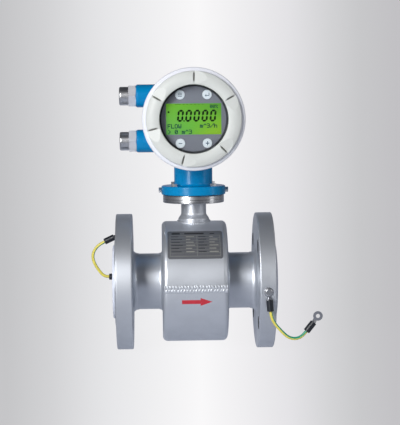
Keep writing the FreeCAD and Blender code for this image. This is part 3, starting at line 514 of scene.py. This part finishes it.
def finishes():
    """Every finish of the meter by name."""
    c = colours()
    grey_metal, bright_metal = srgb("c9cacd"), srgb("dcdde0")
    round_neck, round_gland = ((0, 0, 0), 1800.0), ((0, math.pi / 2, 0), 1800.0)
    round_post = (math.pi / 2, 0, 0), 1500.0
    looks = {
        # The silver paint carries painted shade inside the flanges' bolt holes.
        "silver_paint": dict(colour=c.body, metallic=0.78, rough=0.41, spread=0.08, shade=0.07, patch=22,
                             grain=700, relief=0.16, depth=0.08 * MM, wavy=0.5, recolour=bolt_hole_shade),
        "liner": dict(colour=srgb("dfe4f2"), rough=0.42, shade=0.05, patch=30, grain=600),
        "pole_iron": dict(colour=srgb("55565a"), metallic=0.85, rough=0.5, spread=0.2, shade=0.25, patch=60,
                          grain=500, relief=0.3),
        "coil_winding": dict(colour=srgb("c07a3c"), metallic=0.8, rough=0.35, shade=0.1,
                             recolour=winding_colour_and_groove_shade),
        "stainless": dict(colour=bright_metal, metallic=1.0, rough=0.27, spread=0.06, shade=0.05, patch=60,
                          relief=0.008, lines=round_neck),
        "bush_plastic": dict(colour=srgb("e6e2d2"), rough=0.5),
        "black_rubber": dict(colour=srgb("1c1d1f"), rough=0.7, shade=0.2, patch=80, grain=1200, relief=0.3),
        "harness_sheath": dict(colour=srgb("2b2c30"), rough=0.5),
        "black_plastic": dict(colour=srgb("101217"), shade=0.2, patch=60, grain=1500, relief=0.15),
        "blue_paint": dict(colour=c.head, rough=0.28, spread=0.08, patch=30, grain=500, relief=0.22,
                           depth=0.1 * MM, wavy=0.6, coat=0.15, coat_rough=0.08, specular=0.25),
        "cream_paint": dict(colour=c.cover, rough=0.42, spread=0.08, shade=0.03, grain=600, relief=0.15,
                            depth=0.08 * MM, wavy=0.4, coat=0.05, coat_rough=0.2, specular=0.28,
                            recolour=cover_colour_and_grip_shade),
        "panel_plastic": dict(colour=c.panel, rough=0.5, shade=0.06, patch=40, grain=2500, relief=0.15,
                              recolour=panel_colour),
        "key_white": dict(colour=srgb("eaf3fa"), rough=0.25, spread=0.05, shade=0.03, coat=0.4),
        "board_green": dict(colour=srgb("14703a"), rough=0.35, recolour=board_colour),
        "post_brass": dict(colour=srgb("cdaa5e"), metallic=1.0, rough=0.3, lines=round_post),
        "terminal_plastic": dict(colour=srgb("2f7d55"), rough=0.45),
        "screw_zinc": dict(colour=grey_metal, metallic=1.0, rough=0.35, spread=0.15, shade=0.12, patch=200),
        "nickel": dict(colour=srgb("f2f1f5"), metallic=0.55, rough=0.45, spread=0.08, shade=0.06, patch=80,
                       relief=0.04, lines=round_gland),
        "polished_nickel": dict(colour=bright_metal, metallic=1.0, rough=0.27, spread=0.04, shade=0.04,
                                patch=80, relief=0.01, lines=round_gland),
        "nameplate_metal": dict(colour=srgb("74767b"), metallic=0.5, rough=0.42, spread=0.12, shade=0.12,
                                patch=60, grain=1800, relief=0.2),
        "shrink_sleeve": dict(colour=srgb("20242c"), rough=0.38, spread=0.15, shade=0.15, patch=300,
                              relief=0.3, depth=0.2 * MM, wavy=1.0),
        "tinned_lug": dict(colour=bright_metal, metallic=1.0, rough=0.24, spread=0.12, patch=200,
                           relief=0.15),
        "arrow_red": dict(colour=c.arrow, rough=0.42, spread=0.12, shade=0.1, patch=150, grain=1200,
                          relief=0.15),
        "segment_ink": dict(colour=c.segments, rough=0.8, specular=0.1),
        "small_ink": dict(colour=c.small_text, rough=0.8, specular=0.1),
        "key_ink": dict(colour=srgb("4a6478"), rough=0.6, specular=0.2),
        "plate_print": dict(colour=srgb("a9a8a0"), metallic=0.2, rough=0.45),
        "plate_dark": dict(colour=srgb("2c2d30"), metallic=0.2, rough=0.5),
    }
    made = {name: finish(name, **look) for name, look in looks.items()}
    return {**made, "window_glass": glass_material(), "lcd_green": display_material(),
            "wire_sheath": strap_material()}


def finished(name):
    """A finish that finishes() has made."""
    return bpy.data.materials[f"{name}_finish"]


# ---- marks on the display, the keys and the drum ----

def segment_outlines(width, height, stroke, gap):
    """The six outer bars of a seven-segment 0, each a hexagon with pointed ends, about the digit's middle."""
    w, h, s = width / 2 - stroke / 2, height / 2 - stroke / 2, stroke / 2
    def bar(a, b):
        a, b = np.array(a, float), np.array(b, float)
        along = (b - a) / np.linalg.norm(b - a)
        side = np.array([-along[1], along[0]]) * s
        a, b = a + along * gap, b - along * gap
        return np.array([a, a + along * s - side, b - along * s - side,
                         b, b - along * s + side, a + along * s + side])
    return np.array([bar((-w, h), (w, h)), bar((w, 0), (w, h)), bar((w, -h), (w, 0)),
                     bar((-w, -h), (w, -h)), bar((-w, -h), (-w, 0)), bar((-w, 0), (-w, h))])


DOT_LETTERS = {
    "m": "00000 00000 11010 10101 10101 10101 10101", "3": "11110 00001 00001 01110 00001 00001 11110",
    "/": "00001 00001 00010 00100 01000 10000 10000", "h": "10000 10000 10110 11001 10001 10001 10001",
    "0": "01110 10001 10011 10101 11001 10001 01110", ">": "01000 00100 00010 00001 00010 00100 01000",
    "%": "11000 11001 00010 00100 01000 10011 00011", "O": "01110 10001 10001 10001 10001 10001 01110",
    "^": "00100 01010 10001 00000 00000 00000 00000",
    "F": "11111 10000 10000 11110 10000 10000 10000", "L": "10000 10000 10000 10000 10000 10000 11111",
    "W": "10001 10001 10001 10101 10101 10101 01010",
    " ": "00000 00000 00000 00000 00000 00000 00000",
}


def dot_row(text, left, top, pitch):
    """Square outlines for a row of dot letters whose upper left corner is at (left, top). The squares are 1.4
    pitches wide, so that neighbours overlap."""
    bits = np.concatenate([np.pad(np.array([[int(b) for b in line] for line in DOT_LETTERS[ch].split()]),
                                  ((0, 0), (0, 1))) for ch in text], 1)
    row, column = np.nonzero(bits)
    x, z = left + column * pitch, top - row * pitch
    corners = np.array([[0, -1], [1, -1], [1, 0], [0, 0]]) * 1.4 * pitch
    return np.stack([x, z], -1)[:, None, :] + corners


class METER_OT_display_marks(bpy.types.Operator):
    """Large digits, small rows, a dot and a row of dashes on the display"""
    bl_idname = "meter.display_marks"
    bl_label = "Display Marks"

    # Places on the display, right and up from its middle, in millimetres.
    FIRST_DIGIT, POINT_ASIDE, POINT_ABOVE_FOOT, POINT_R = (-17.4, 4.3), 4.6, 1.2, 1.15
    DOT, DOT_R = (-33.0, 9.3), 1.3
    DASHES, DASH_LEVEL, DASH_SIZE = (-24, -21.5, -19, -14, -9, -4, 1, 6, 11), 19.0, (1.7, 0.6)
    ROWS = (("FLOW", -34.6, -6.6, 1.0), ("m^3/h", 8.0, -6.0, 1.0), ("> 0 m^3", -34.6, -13.9, 1.0),
            ("00%", 21.5, 18.6, 0.78))

    def execute(self, context):
        s = sizes()
        lo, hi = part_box("lcd_module")
        middle = np.array([(lo.x + hi.x) / 2, (lo.z + hi.z) / 2])
        back, front = lo.y + 0.02 * MM, lo.y - 0.06 * MM
        digit = segment_outlines(s.digit_width, s.digit_height, s.digit_stroke, 0.2 * MM)
        digit[..., 0] += digit[..., 1] * math.tan(s.digit_slant)
        first = middle + np.array(self.FIRST_DIGIT) * MM
        shift = first + np.array([(k * s.digit_pitch, 0) for k in range(5)])
        bars = (digit[None] + shift[:, None, None, :]).reshape(-1, 6, 2)
        foot = first[1] - s.digit_height / 2
        point = disc_outline(first[0] + self.POINT_ASIDE * MM, foot + self.POINT_ABOVE_FOOT * MM,
                             self.POINT_R * MM, 6)
        piece("display_digits", *prisms(np.concatenate([bars, point[None]]), back, front),
              finished("segment_ink"), "meter", "lcd_green")
        dot = disc_outline(*(middle + np.array(self.DOT) * MM), self.DOT_R * MM)
        corners = np.array([[0, 0], [1, 0], [1, 1], [0, 1]]) * self.DASH_SIZE * MM
        dashes = np.array([middle + np.array([x, self.DASH_LEVEL]) * MM + corners for x in self.DASHES])
        piece("display_icons", *joined([prisms(dot[None], back, front), prisms(dashes, back, front)]),
              finished("segment_ink"), "meter", "lcd_green")
        rows = [dot_row(text, middle[0] + x * MM, middle[1] + z * MM, s.dot_size * scale)
                for text, x, z, scale in self.ROWS]
        piece("display_rows", *prisms(np.concatenate(rows), back, front), finished("small_ink"),
              "meter", "lcd_green")
        return {"FINISHED"}


class METER_OT_key_marks(bpy.types.Operator):
    """Plain marks on the four keys: three bars, a bent arrow, minus and plus"""
    bl_idname = "meter.key_marks"
    bl_label = "Key Marks"

    def execute(self, context):
        def bar(x, z, width, height):
            """A bar about (x, z), all in millimetres."""
            corners = np.array([[-1, -1], [1, -1], [1, 1], [-1, 1]]) * (width / 2, height / 2)
            return (corners + (x, z)) * MM
        marks = {
            "menu_key": [bar(0, z, 5.4, 0.9) for z in (2.0, 0.0, -2.0)],
            "enter_key": [bar(-0.4, -1.3, 5.0, 0.9), bar(2.55, 0.3, 0.9, 4.1), bar(-1.9, -0.6, 0.9, 0.8),
                          bar(-1.9, -2.0, 0.9, 0.8), bar(-1.2, 0.1, 0.7, 0.7), bar(-1.2, -2.7, 0.7, 0.7)],
            "minus_key": [bar(0, 0, 4.6, 1.1)],
            "plus_key": [bar(0, 0, 4.8, 1.1), bar(0, 1.65, 1.1, 2.2), bar(0, -1.65, 1.1, 2.2)],
        }
        for key, outlines in marks.items():
            lo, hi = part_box(key)
            middle = np.array([(lo.x + hi.x) / 2, (lo.z + hi.z) / 2])
            piece(f"{key}_mark", *prisms(np.array(outlines) + middle, lo.y + 0.25 * MM, lo.y - 0.05 * MM),
                  finished("key_ink"), key, "key_white")
        return {"FINISHED"}


class METER_OT_flow_arrow(bpy.types.Operator):
    """Flow arrow: a sheet laid on the drum, with its half height given at points along it"""
    bl_idname = "meter.flow_arrow"
    bl_label = "Flow Arrow"

    def execute(self, context):
        s = sizes()
        level, off_middle, tip = math.radians(-13), 1.5 * MM, 0.15 * MM
        half = s.arrow_length / 2
        neck = half - s.arrow_head_length
        x = np.array([-half, -half / 2, 0, neck, neck, (neck + half) / 2, half]) + off_middle
        height = np.array([s.arrow_shaft] * 4 + [s.arrow_head, s.arrow_head / 2, tip]) / 2
        share = np.linspace(-1, 1, 9)
        angle = level + height[:, None] * share / DRUM_R
        x = np.repeat(x[:, None], len(share), 1)
        piece("flow_arrow", *drum_patch(x, angle, DRUM_R - 0.05 * MM, DRUM_R + 0.14 * MM),
              finished("arrow_red"), "meter", "silver_paint")
        return {"FINISHED"}


def plate_bar(x0, x1, low, high):
    """A thin sheet on the nameplate, in millimetres: x0 to x1 along the pipe, and low to high measured along
    the plate's curve from its lower edge."""
    x = np.repeat(np.linspace(x0, x1, 2)[:, None] * MM, 7, 1)
    angle = PLATE_FOOT + np.linspace(low, high, 7)[None, :] * MM / PLATE_R + 0 * x
    return drum_patch(x, angle, PLATE_R - 0.04 * MM, PLATE_R + 0.05 * MM)


class METER_OT_plate_print(bpy.types.Operator):
    """Ruled blank fields on the nameplate"""
    bl_idname = "meter.plate_print"
    bl_label = "Nameplate Rules"

    # Millimetres on the plate: its frame, then each column of bars by its left end and its right ends row by
    # row, and the bars of the heading by left, right, and how far their lower and upper edges lie below the
    # top.
    SIDE, FOOT, TOP, HEADING, RULE = 33.0, 3.6, 46.0, 7.9, 0.3
    LABELS = ((-31.5, (-18, -21, -16, -20, -17, -22)), (4.5, (15, 13, 16, 12, 15, 14)))
    VALUES = ((-12, (-1, -4, 0, -2, -6, -1)), (19, (31, 28, 31, 26, 30, 24)))
    TITLES = ((-31, -20, 6.0, 2.6), (-14, 12, 5.6, 3.0), (20, 26, 5.2, 3.6))

    def execute(self, context):
        side, foot, head, rule = self.SIDE, self.FOOT, self.TOP - self.HEADING, self.RULE
        light = [plate_bar(-side, side, z, z + rule) for z in (foot, head - rule)]
        light += [plate_bar(x, x + rule, foot, head) for x in (-side - rule, side, 2.5)]
        dark = [plate_bar(x0, x1, self.TOP - low, self.TOP - high) for x0, x1, low, high in self.TITLES]
        for k, z in enumerate(np.linspace(foot + 4.8, head - 4.5, 6)):
            light.append(plate_bar(-side, side, z, z + 0.2))
            light += [plate_bar(left, rights[k], z + 1.4, z + 2.6) for left, rights in self.VALUES]
            dark += [plate_bar(left, rights[k], z + 1.5, z + 2.4) for left, rights in self.LABELS]
        piece("nameplate_rules", *joined(light), finished("plate_print"), "meter", "nameplate_metal")
        piece("nameplate_labels", *joined(dark), finished("plate_dark"), "meter", "nameplate_metal")
        return {"FINISHED"}


# ---- welds ----

def slow_waves(turn, counts, low, high, rng):
    """A sum of sines with the given counts of waves to the turn, and with random heights and starts."""
    return sum(height * np.sin(count * turn + start) for count, height, start in
               zip(counts, rng.uniform(low, high, len(counts)), rng.uniform(0, 6.28, len(counts))))


def bead(name, path, side, up, radius, ripples, seed):
    """A weld bead: a circle of varying radius carried round a closed path. The radius swells at each ripple
    by the absolute value of a sine, and wanders by a few slow sines."""
    count = len(path)
    turn = np.linspace(0, 2 * np.pi, count, endpoint=False)
    wander = slow_waves(turn, (2, 3, 5, 9, 14), 0.02, 0.09, np.random.default_rng(seed))
    swell = radius * (0.9 + 0.16 * np.abs(np.sin(ripples * turn / 2)) + wander)
    around = np.linspace(0, 2 * np.pi, 14, endpoint=False)
    points = (path[:, None, :] + swell[:, None, None] * (np.cos(around)[None, :, None] * side[:, None, :]
                                                         + np.sin(around)[None, :, None] * up[:, None, :]))
    faces = grid_faces(count, len(around), True, True)
    piece(name, points, faces, finished("silver_paint"), "meter", "silver_paint", smooth=True)


class METER_OT_welds(bpy.types.Operator):
    """Rippled weld beads at the neck foot and along the drum"""
    bl_idname = "meter.welds"
    bl_label = "Weld Beads"

    def execute(self, context):
        self.neck_foot_bead()
        self.drum_seam()
        return {"FINISHED"}

    @staticmethod
    def neck_foot_bead():
        """A bead where the neck's upright tube meets the drum, so its level is sqrt(DRUM_R ** 2 - y ** 2)."""
        turn = np.linspace(0, 2 * np.pi, 420, endpoint=False)
        flat = np.stack([np.cos(turn), np.sin(turn), 0 * turn], -1)
        foot_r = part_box("neck_tube")[1].x + 0.2 * MM
        path = flat * foot_r
        path[:, 2] = np.sqrt(DRUM_R ** 2 - path[:, 1] ** 2) + 0.4 * MM
        up = np.repeat([[0.0, 0.0, 1.0]], len(turn), 0)
        bead("neck_foot_bead", path, flat, -up, sizes().bead_radius, ripples=46, seed=3)

    @staticmethod
    def drum_seam():
        """A weave bead along the drum: a low crown (1 - s * s) ** 0.6, parted by abs(sin(pi * s)) into two
        rows and cut by slanting ripples. s runs from -1 to 1 across the bead. Heights are in millimetres, and
        both ends are as low as the sides."""
        left, right, pitch, half_width = -41.5 * MM, 42.5 * MM, 4.0 * MM, 5.4 * MM
        level, edge_height, rise, sunk = math.radians(-0.9), 0.1, 0.45, 0.4 * MM
        x = np.linspace(left, right, 560)[:, None]
        s = np.linspace(-1, 1, 25)[None, :]
        wander = slow_waves(x / (right - left) * 2 * np.pi, (2, 5, 9, 17, 31), 0.1, 0.3,
                            np.random.default_rng(11))
        phase = x / pitch + 0.5 * (s > 0) + 0.45 * np.abs(s) + 0.25 * wander
        ripple = np.abs(np.sin(np.pi * phase)) ** 1.5
        crown = (1 - s ** 2) ** 0.6 * (0.35 + 0.65 * np.abs(np.sin(np.pi * s)) ** 0.8)
        height = (edge_height + rise * crown * (0.35 + 0.65 * ripple) * (1 + 0.15 * wander)) * MM
        height[[0, -1]] = height[:, [0]][[0, -1]]
        angle = level + (half_width * s + 0.5 * MM * wander) / DRUM_R
        x = x + 0 * s
        piece("drum_seam", *drum_patch(x, angle, DRUM_R - sunk + 0 * x, DRUM_R + height),
              finished("silver_paint"), "meter", "silver_paint", smooth=True)


# ---- earth straps ----

# Each strap's start and the length of its wire in metres, the roll and creep of its stripe, and its route
# from the start to the right and up, in millimetres.
STRAPS = {
    "outlet": ((0.095, -0.0965, -0.005), 0.082, 0.02, -2.0, (
        (1.48, -18.94), (2.38, -30.5), (6.8, -40.6), (15.5, -50.6), (23.0, -57.9), (28.7, -60.8),
        (35.2, -61.4), (41.4, -59.3), (46.4, -55.0), (52.7, -47.2))),
    "inlet": ((-0.095, 0.0965, -0.005), 0.081, -0.65, 2.6, (
        (-19.0, 0.0), (-28.2, 0.0), (-34.0, 2.7), (-38.9, 8.6), (-43.6, 15.8), (-47.2, 23.4),
        (-48.1, 31.0), (-45.8, 37.9), (-41.2, 44.1), (-34.6, 48.7), (-25.2, 53.1))),
}


def spline_points(name, points):
    """The points of a smooth line that has the given points as its control points."""
    data = bpy.data.curves.new(name, "CURVE")
    data.dimensions = "3D"
    data.resolution_u = 24
    spline = data.splines.new("NURBS")
    spline.points.add(len(points) - 1)
    spline.points.foreach_set("co", np.c_[points, np.ones(len(points))].ravel())
    spline.order_u = 3
    spline.use_endpoint_u = True
    holder = bpy.data.objects.new(name, data)
    bpy.context.scene.collection.objects.link(holder)
    bpy.context.view_layer.update()
    line = bpy.data.meshes.new_from_object(holder.evaluated_get(bpy.context.evaluated_depsgraph_get()))
    found = np.empty(len(line.vertices) * 3)
    line.vertices.foreach_get("co", found)
    bpy.data.objects.remove(holder)
    bpy.data.curves.remove(data)
    bpy.data.meshes.remove(line)
    return found.reshape(-1, 3)


def sheath_tube(name, line, radius, roll, creep):
    """A round sheath on a line that lies in one upright plane: circles spanned by the plane's normal and the
    line's own normal, closed by a flat cap at each end. Its UV map has the way along in metres and the turn
    round it, which starts at roll and creeps round along the line by creep turns to the metre."""
    along = np.gradient(line, axis=0)
    along /= np.linalg.norm(along, axis=1)[:, None]
    across = np.repeat([[0.0, 1.0, 0.0]], len(line), 0)
    normal = np.cross(across, along)
    around = np.linspace(0, 2 * np.pi, 20, endpoint=False)
    points = line[:, None, :] + radius * (np.cos(around)[None, :, None] * normal[:, None, :]
                                          + np.sin(around)[None, :, None] * across[:, None, :])
    rows, columns = points.shape[:2]
    faces = grid_faces(rows, columns, False, True)[:, ::-1]
    caps = [np.arange(columns), np.arange(columns)[::-1] + (rows - 1) * columns]
    made = piece(name, points, [*faces, *caps], finished("wire_sheath"), "meter", "wire_sheath", smooth=True)
    way = np.r_[0, np.cumsum(np.linalg.norm(np.diff(line, axis=0), axis=1))]
    i, j = np.meshgrid(np.arange(rows - 1), np.arange(columns), indexing="ij")
    corner_way = np.stack([way[i], way[i + 1], way[i + 1], way[i]], -1)[..., ::-1]
    corner_share = np.stack([j, j, j + 1, j + 1], -1)[..., ::-1] / columns
    sides = np.stack([corner_way, corner_share + roll + creep * corner_way], -1).reshape(-1, 2)
    ends = np.stack([np.repeat([way[0], way[-1]], columns), np.tile(np.arange(columns) / columns, 2)], -1)
    layer = made.data.uv_layers.new(name="sheath")
    layer.data.foreach_set("uv", np.concatenate([sides, ends]).ravel())
    return made


class METER_OT_earth_straps(bpy.types.Operator):
    """The two free earth straps, each a sheath between its crimped lugs"""
    bl_idname = "meter.earth_straps"
    bl_label = "Earth Straps"

    def execute(self, context):
        radius = sizes().wire_diameter / 2
        for side, ((x, y, z), wire_length, roll, creep, offsets) in STRAPS.items():
            route = np.array([(x + a * MM, y, z + b * MM) for a, b in offsets])
            line = spline_points(f"{side}_route", route)
            sheath = sheath_tube(f"{side}_strap_sheath", line, radius, roll, creep)
            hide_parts(f"{side}_strap_wire")
        return {"FINISHED"}


# ---- finishes on the frame ----

class METER_OT_finishes(bpy.types.Operator):
    """Gives every node of the frame the finish named by its material, and the gland nuts a brighter one"""
    bl_idname = "meter.finishes"
    bl_label = "Finishes"

    def execute(self, context):
        made = finishes()
        for name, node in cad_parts.items():
            kind = node.material_slots[0].material.name.split(".")[0]
            if name.endswith("_gland_nut"):
                kind = "polished_nickel"
            if kind not in made:
                raise RuntimeError(f"no finish for {name}: {kind}")
            node.material_slots[0].material = made[kind]
        return {"FINISHED"}


# ---- studio ----

CAMERA_DISTANCE = 2.0
CAMERA_YAW, CAMERA_PITCH, CAMERA_ROLL = (math.radians(a) for a in (-1.6, 4.57, -0.6))
CAMERA_AIM = Vector((0.00865, 0.0, 0.09344))
CAMERA_LENS = 124.0

# How far the camera stands to the left, and the sweep's shades from left to right as the camera sees them,
# each at its share of the way between two directions, given as the way to the side over the way ahead.
CAMERA_LEFT = 0.047
BACKDROP_SIDES = (-0.109, 0.1645)
# Painted pool of light on the sweep: brightest in the middle and greyer to both sides.
BACKDROP = ((0.01, "c6c6c8"), (0.125, "d4d4d6"), (0.225, "e3e3e5"), (0.275, "e9e9eb"), (0.5, "fcfbfc"),
            (0.725, "e6e5e8"), (0.825, "d5d5d7"), (0.9, "cacacc"), (0.99, "c4c3c6"))

# The room's shades from straight down to straight up.
ROOM = ((0.0, (0.4,) * 3), (0.5, (0.16,) * 3), (0.7, (0.15,) * 3), (0.85, (0.06, 0.062, 0.07)),
        (1.0, (0.05, 0.052, 0.06)))

# Each lamp's name, place, width, height and power.
LAMPS = (("key_softbox", (-1.0, -1.85, 0.68), 0.6, 1.4, 42),
         ("right_strip", (1.75, -0.6, 0.2), 0.45, 1.2, 2.2),
         ("right_fill", (1.5, -1.7, 0.9), 0.6, 0.8, 3.5))


def sweep(half_width, front, bend_start, radius, top, floor, steps=24):
    """The floor, a quarter round and the wall as one sheet: a profile in Y and Z carried along X."""
    angle = np.linspace(0, np.pi / 2, steps)
    bend = np.stack([bend_start + radius * np.sin(angle), floor + radius * (1 - np.cos(angle))], -1)
    profile = np.concatenate([[[front, floor]], bend, [[bend_start + radius, top]]])
    x = np.linspace(-half_width, half_width, 3)
    return np.stack([np.repeat(x[:, None], len(profile), 1), np.repeat(profile[None, :, 0], 3, 0),
                     np.repeat(profile[None, :, 1], 3, 0)], -1)


def sweep_material():
    """A pale sweep with a painted pool of light, brightest in the middle and greyer to both sides, that keeps
    a faint shadow. Its glow in shiny pieces fades towards the front and the sides."""
    material, t = new_material("studio_sweep")
    x, y, z = t.split(t.place())
    depth = t.plus(y, CAMERA_DISTANCE)
    side = t.maths("DIVIDE", t.plus(x, CAMERA_LEFT), t.maths("MAXIMUM", depth, 0.5))
    colour = t.ramp(t.band(side, *BACKDROP_SIDES, smooth=False),
                    [(place, srgb(code)) for place, code in BACKDROP])
    path = t.add("ShaderNodeLightPath")
    mirrored = path.outputs["Is Glossy Ray"]
    seen = t.maths("MAXIMUM", path.outputs["Is Camera Ray"], path.outputs["Is Transmission Ray"])
    near = t.band(y, -1.6, -0.3, 0.1, 0.5)
    near = t.times(near, t.band(t.maths("ABSOLUTE", x), 0.8, 2.6, 1.0, 0.2))
    colour = t.mix(mirrored, colour, t.mix(1.0, colour, (0.9, 0.96, 1.1, 1), "MULTIPLY"))
    strength = t.maths("MAXIMUM", seen, t.times(mirrored, near))
    glow = t.add("ShaderNodeEmission", {"Color": colour, "Strength": strength})
    matt = t.add("ShaderNodeBsdfDiffuse", {"Color": (0.76, 0.79, 0.84, 1)})
    share = t.maths("MAXIMUM", t.times(seen, 0.96), mirrored)
    output(t, t.add("ShaderNodeMixShader", {0: share, 1: matt.outputs[0], 2: glow.outputs[0]}).outputs[0])
    return material


def lamp(name, place, width, height, power):
    """A soft lamp that looks at the meter."""
    data = bpy.data.lights.new(name, "AREA")
    data.shape, data.size, data.size_y, data.energy = "RECTANGLE", width, height, power
    made = bpy.data.objects.new(name, data)
    made.location = place
    made.rotation_euler = (Vector((0, 0, 0.1)) - Vector(place)).to_track_quat("-Z", "Y").to_euler()
    made.visible_camera = False
    bpy.context.scene.collection.objects.link(made)


def room():
    """The room that shiny pieces mirror: pale below, dark above, brighter to the right, and darkest in front
    except high up. The camera sees an even grey instead."""
    world = bpy.data.worlds.new("studio_world")
    world.use_nodes = True
    world.node_tree.nodes.clear()
    t = Tree(world.node_tree)
    right, back, up = t.split(t.add("ShaderNodeTexCoord").outputs["Generated"])
    shade = t.ramp(t.band(up, -1, 1, smooth=False), ROOM)
    shade = t.mix(t.band(right, 0.3, 0.9), shade, t.mix(1.0, shade, (2.2, 2.2, 2.2, 1), "MULTIPLY"))
    front = t.times(t.band(back, -0.2, -0.7), t.band(up, 0.5, 0.3))
    shade = t.mix(t.times(front, 0.9), shade, (0.03, 0.032, 0.04, 1))
    seen = t.add("ShaderNodeLightPath").outputs["Is Camera Ray"]
    colour = t.mix(seen, shade, opaque(srgb("c4c4c6")))
    light = t.add("ShaderNodeBackground", {"Color": colour, "Strength": 1.0})
    t.add("ShaderNodeOutputWorld", {"Surface": light.outputs[0]})
    return world


def camera_place():
    """The camera's matrix: its axes turned by yaw, pitch and roll, at its distance from what it looks at."""
    yaw, pitch, roll = CAMERA_YAW, CAMERA_PITCH, CAMERA_ROLL
    ahead = Vector((-math.sin(yaw) * math.cos(pitch), math.cos(yaw) * math.cos(pitch), -math.sin(pitch)))
    right = Vector((math.cos(yaw), math.sin(yaw), 0))
    up = right.cross(ahead)
    right, up = (math.cos(roll) * right + math.sin(roll) * up, math.cos(roll) * up - math.sin(roll) * right)
    turn = Matrix((right, up, -ahead)).transposed().to_4x4()
    turn.translation = CAMERA_AIM - ahead * CAMERA_DISTANCE
    return turn


class METER_OT_studio(bpy.types.Operator):
    """Pale sweep, soft lamps, world and camera"""
    bl_idname = "meter.studio"
    bl_label = "Studio"

    def execute(self, context):
        scene = context.scene
        scene.view_settings.view_transform = "Standard"
        self.backdrop(scene)
        for values in LAMPS:
            lamp(*values)
        scene.world = room()
        data = bpy.data.cameras.new("camera")
        data.lens, data.clip_end = CAMERA_LENS, 50
        camera = bpy.data.objects.new("camera", data)
        camera.matrix_world = camera_place()
        scene.collection.objects.link(camera)
        scene.camera = camera
        return {"FINISHED"}

    @staticmethod
    def backdrop(scene):
        points = sweep(half_width=4.5, front=-4.5, bend_start=1.7, radius=0.9, top=1.5, floor=cad_box[0].z)
        mesh = bpy.data.meshes.new("studio_sweep")
        mesh.from_pydata(points.reshape(-1, 3).tolist(), [], grid_faces(*points.shape[:2]).tolist())
        mesh.materials.append(sweep_material())
        mesh.polygons.foreach_set("use_smooth", np.full(len(mesh.polygons), True))
        ground = bpy.data.objects.new("studio_sweep", mesh)
        scene.collection.objects.link(ground)


# ---- panel and registration ----

STEPS = ("finishes", "studio", "earth_straps", "display_marks", "key_marks", "flow_arrow", "plate_print",
         "welds")


class METER_PT_panel(bpy.types.Panel):
    """Sizes, colours and pieces of the flow meter"""
    bl_idname = "METER_PT_panel"
    bl_label = "Flow Meter"
    bl_space_type = "VIEW_3D"
    bl_region_type = "UI"
    bl_category = "Flow Meter"

    def draw(self, context):
        for group in (sizes(), colours()):
            for key in group.__annotations__:
                self.layout.prop(group, key)
        for step in STEPS:
            self.layout.operator(f"meter.{step}")


CLASSES = (MeterSizes, MeterColours, METER_OT_finishes, METER_OT_studio, METER_OT_earth_straps,
           METER_OT_display_marks, METER_OT_key_marks, METER_OT_flow_arrow, METER_OT_plate_print,
           METER_OT_welds, METER_PT_panel)


def register():
    for item in CLASSES:
        bpy.utils.register_class(item)
    bpy.types.Scene.meter_sizes = bpy.props.PointerProperty(type=MeterSizes)
    bpy.types.Scene.meter_colours = bpy.props.PointerProperty(type=MeterColours)


def unregister():
    del bpy.types.Scene.meter_colours
    del bpy.types.Scene.meter_sizes
    for item in reversed(CLASSES):
        bpy.utils.unregister_class(item)


def main():
    register()
    for step in STEPS:
        getattr(bpy.ops.meter, step)()


if __name__ == "__main__":
    main()
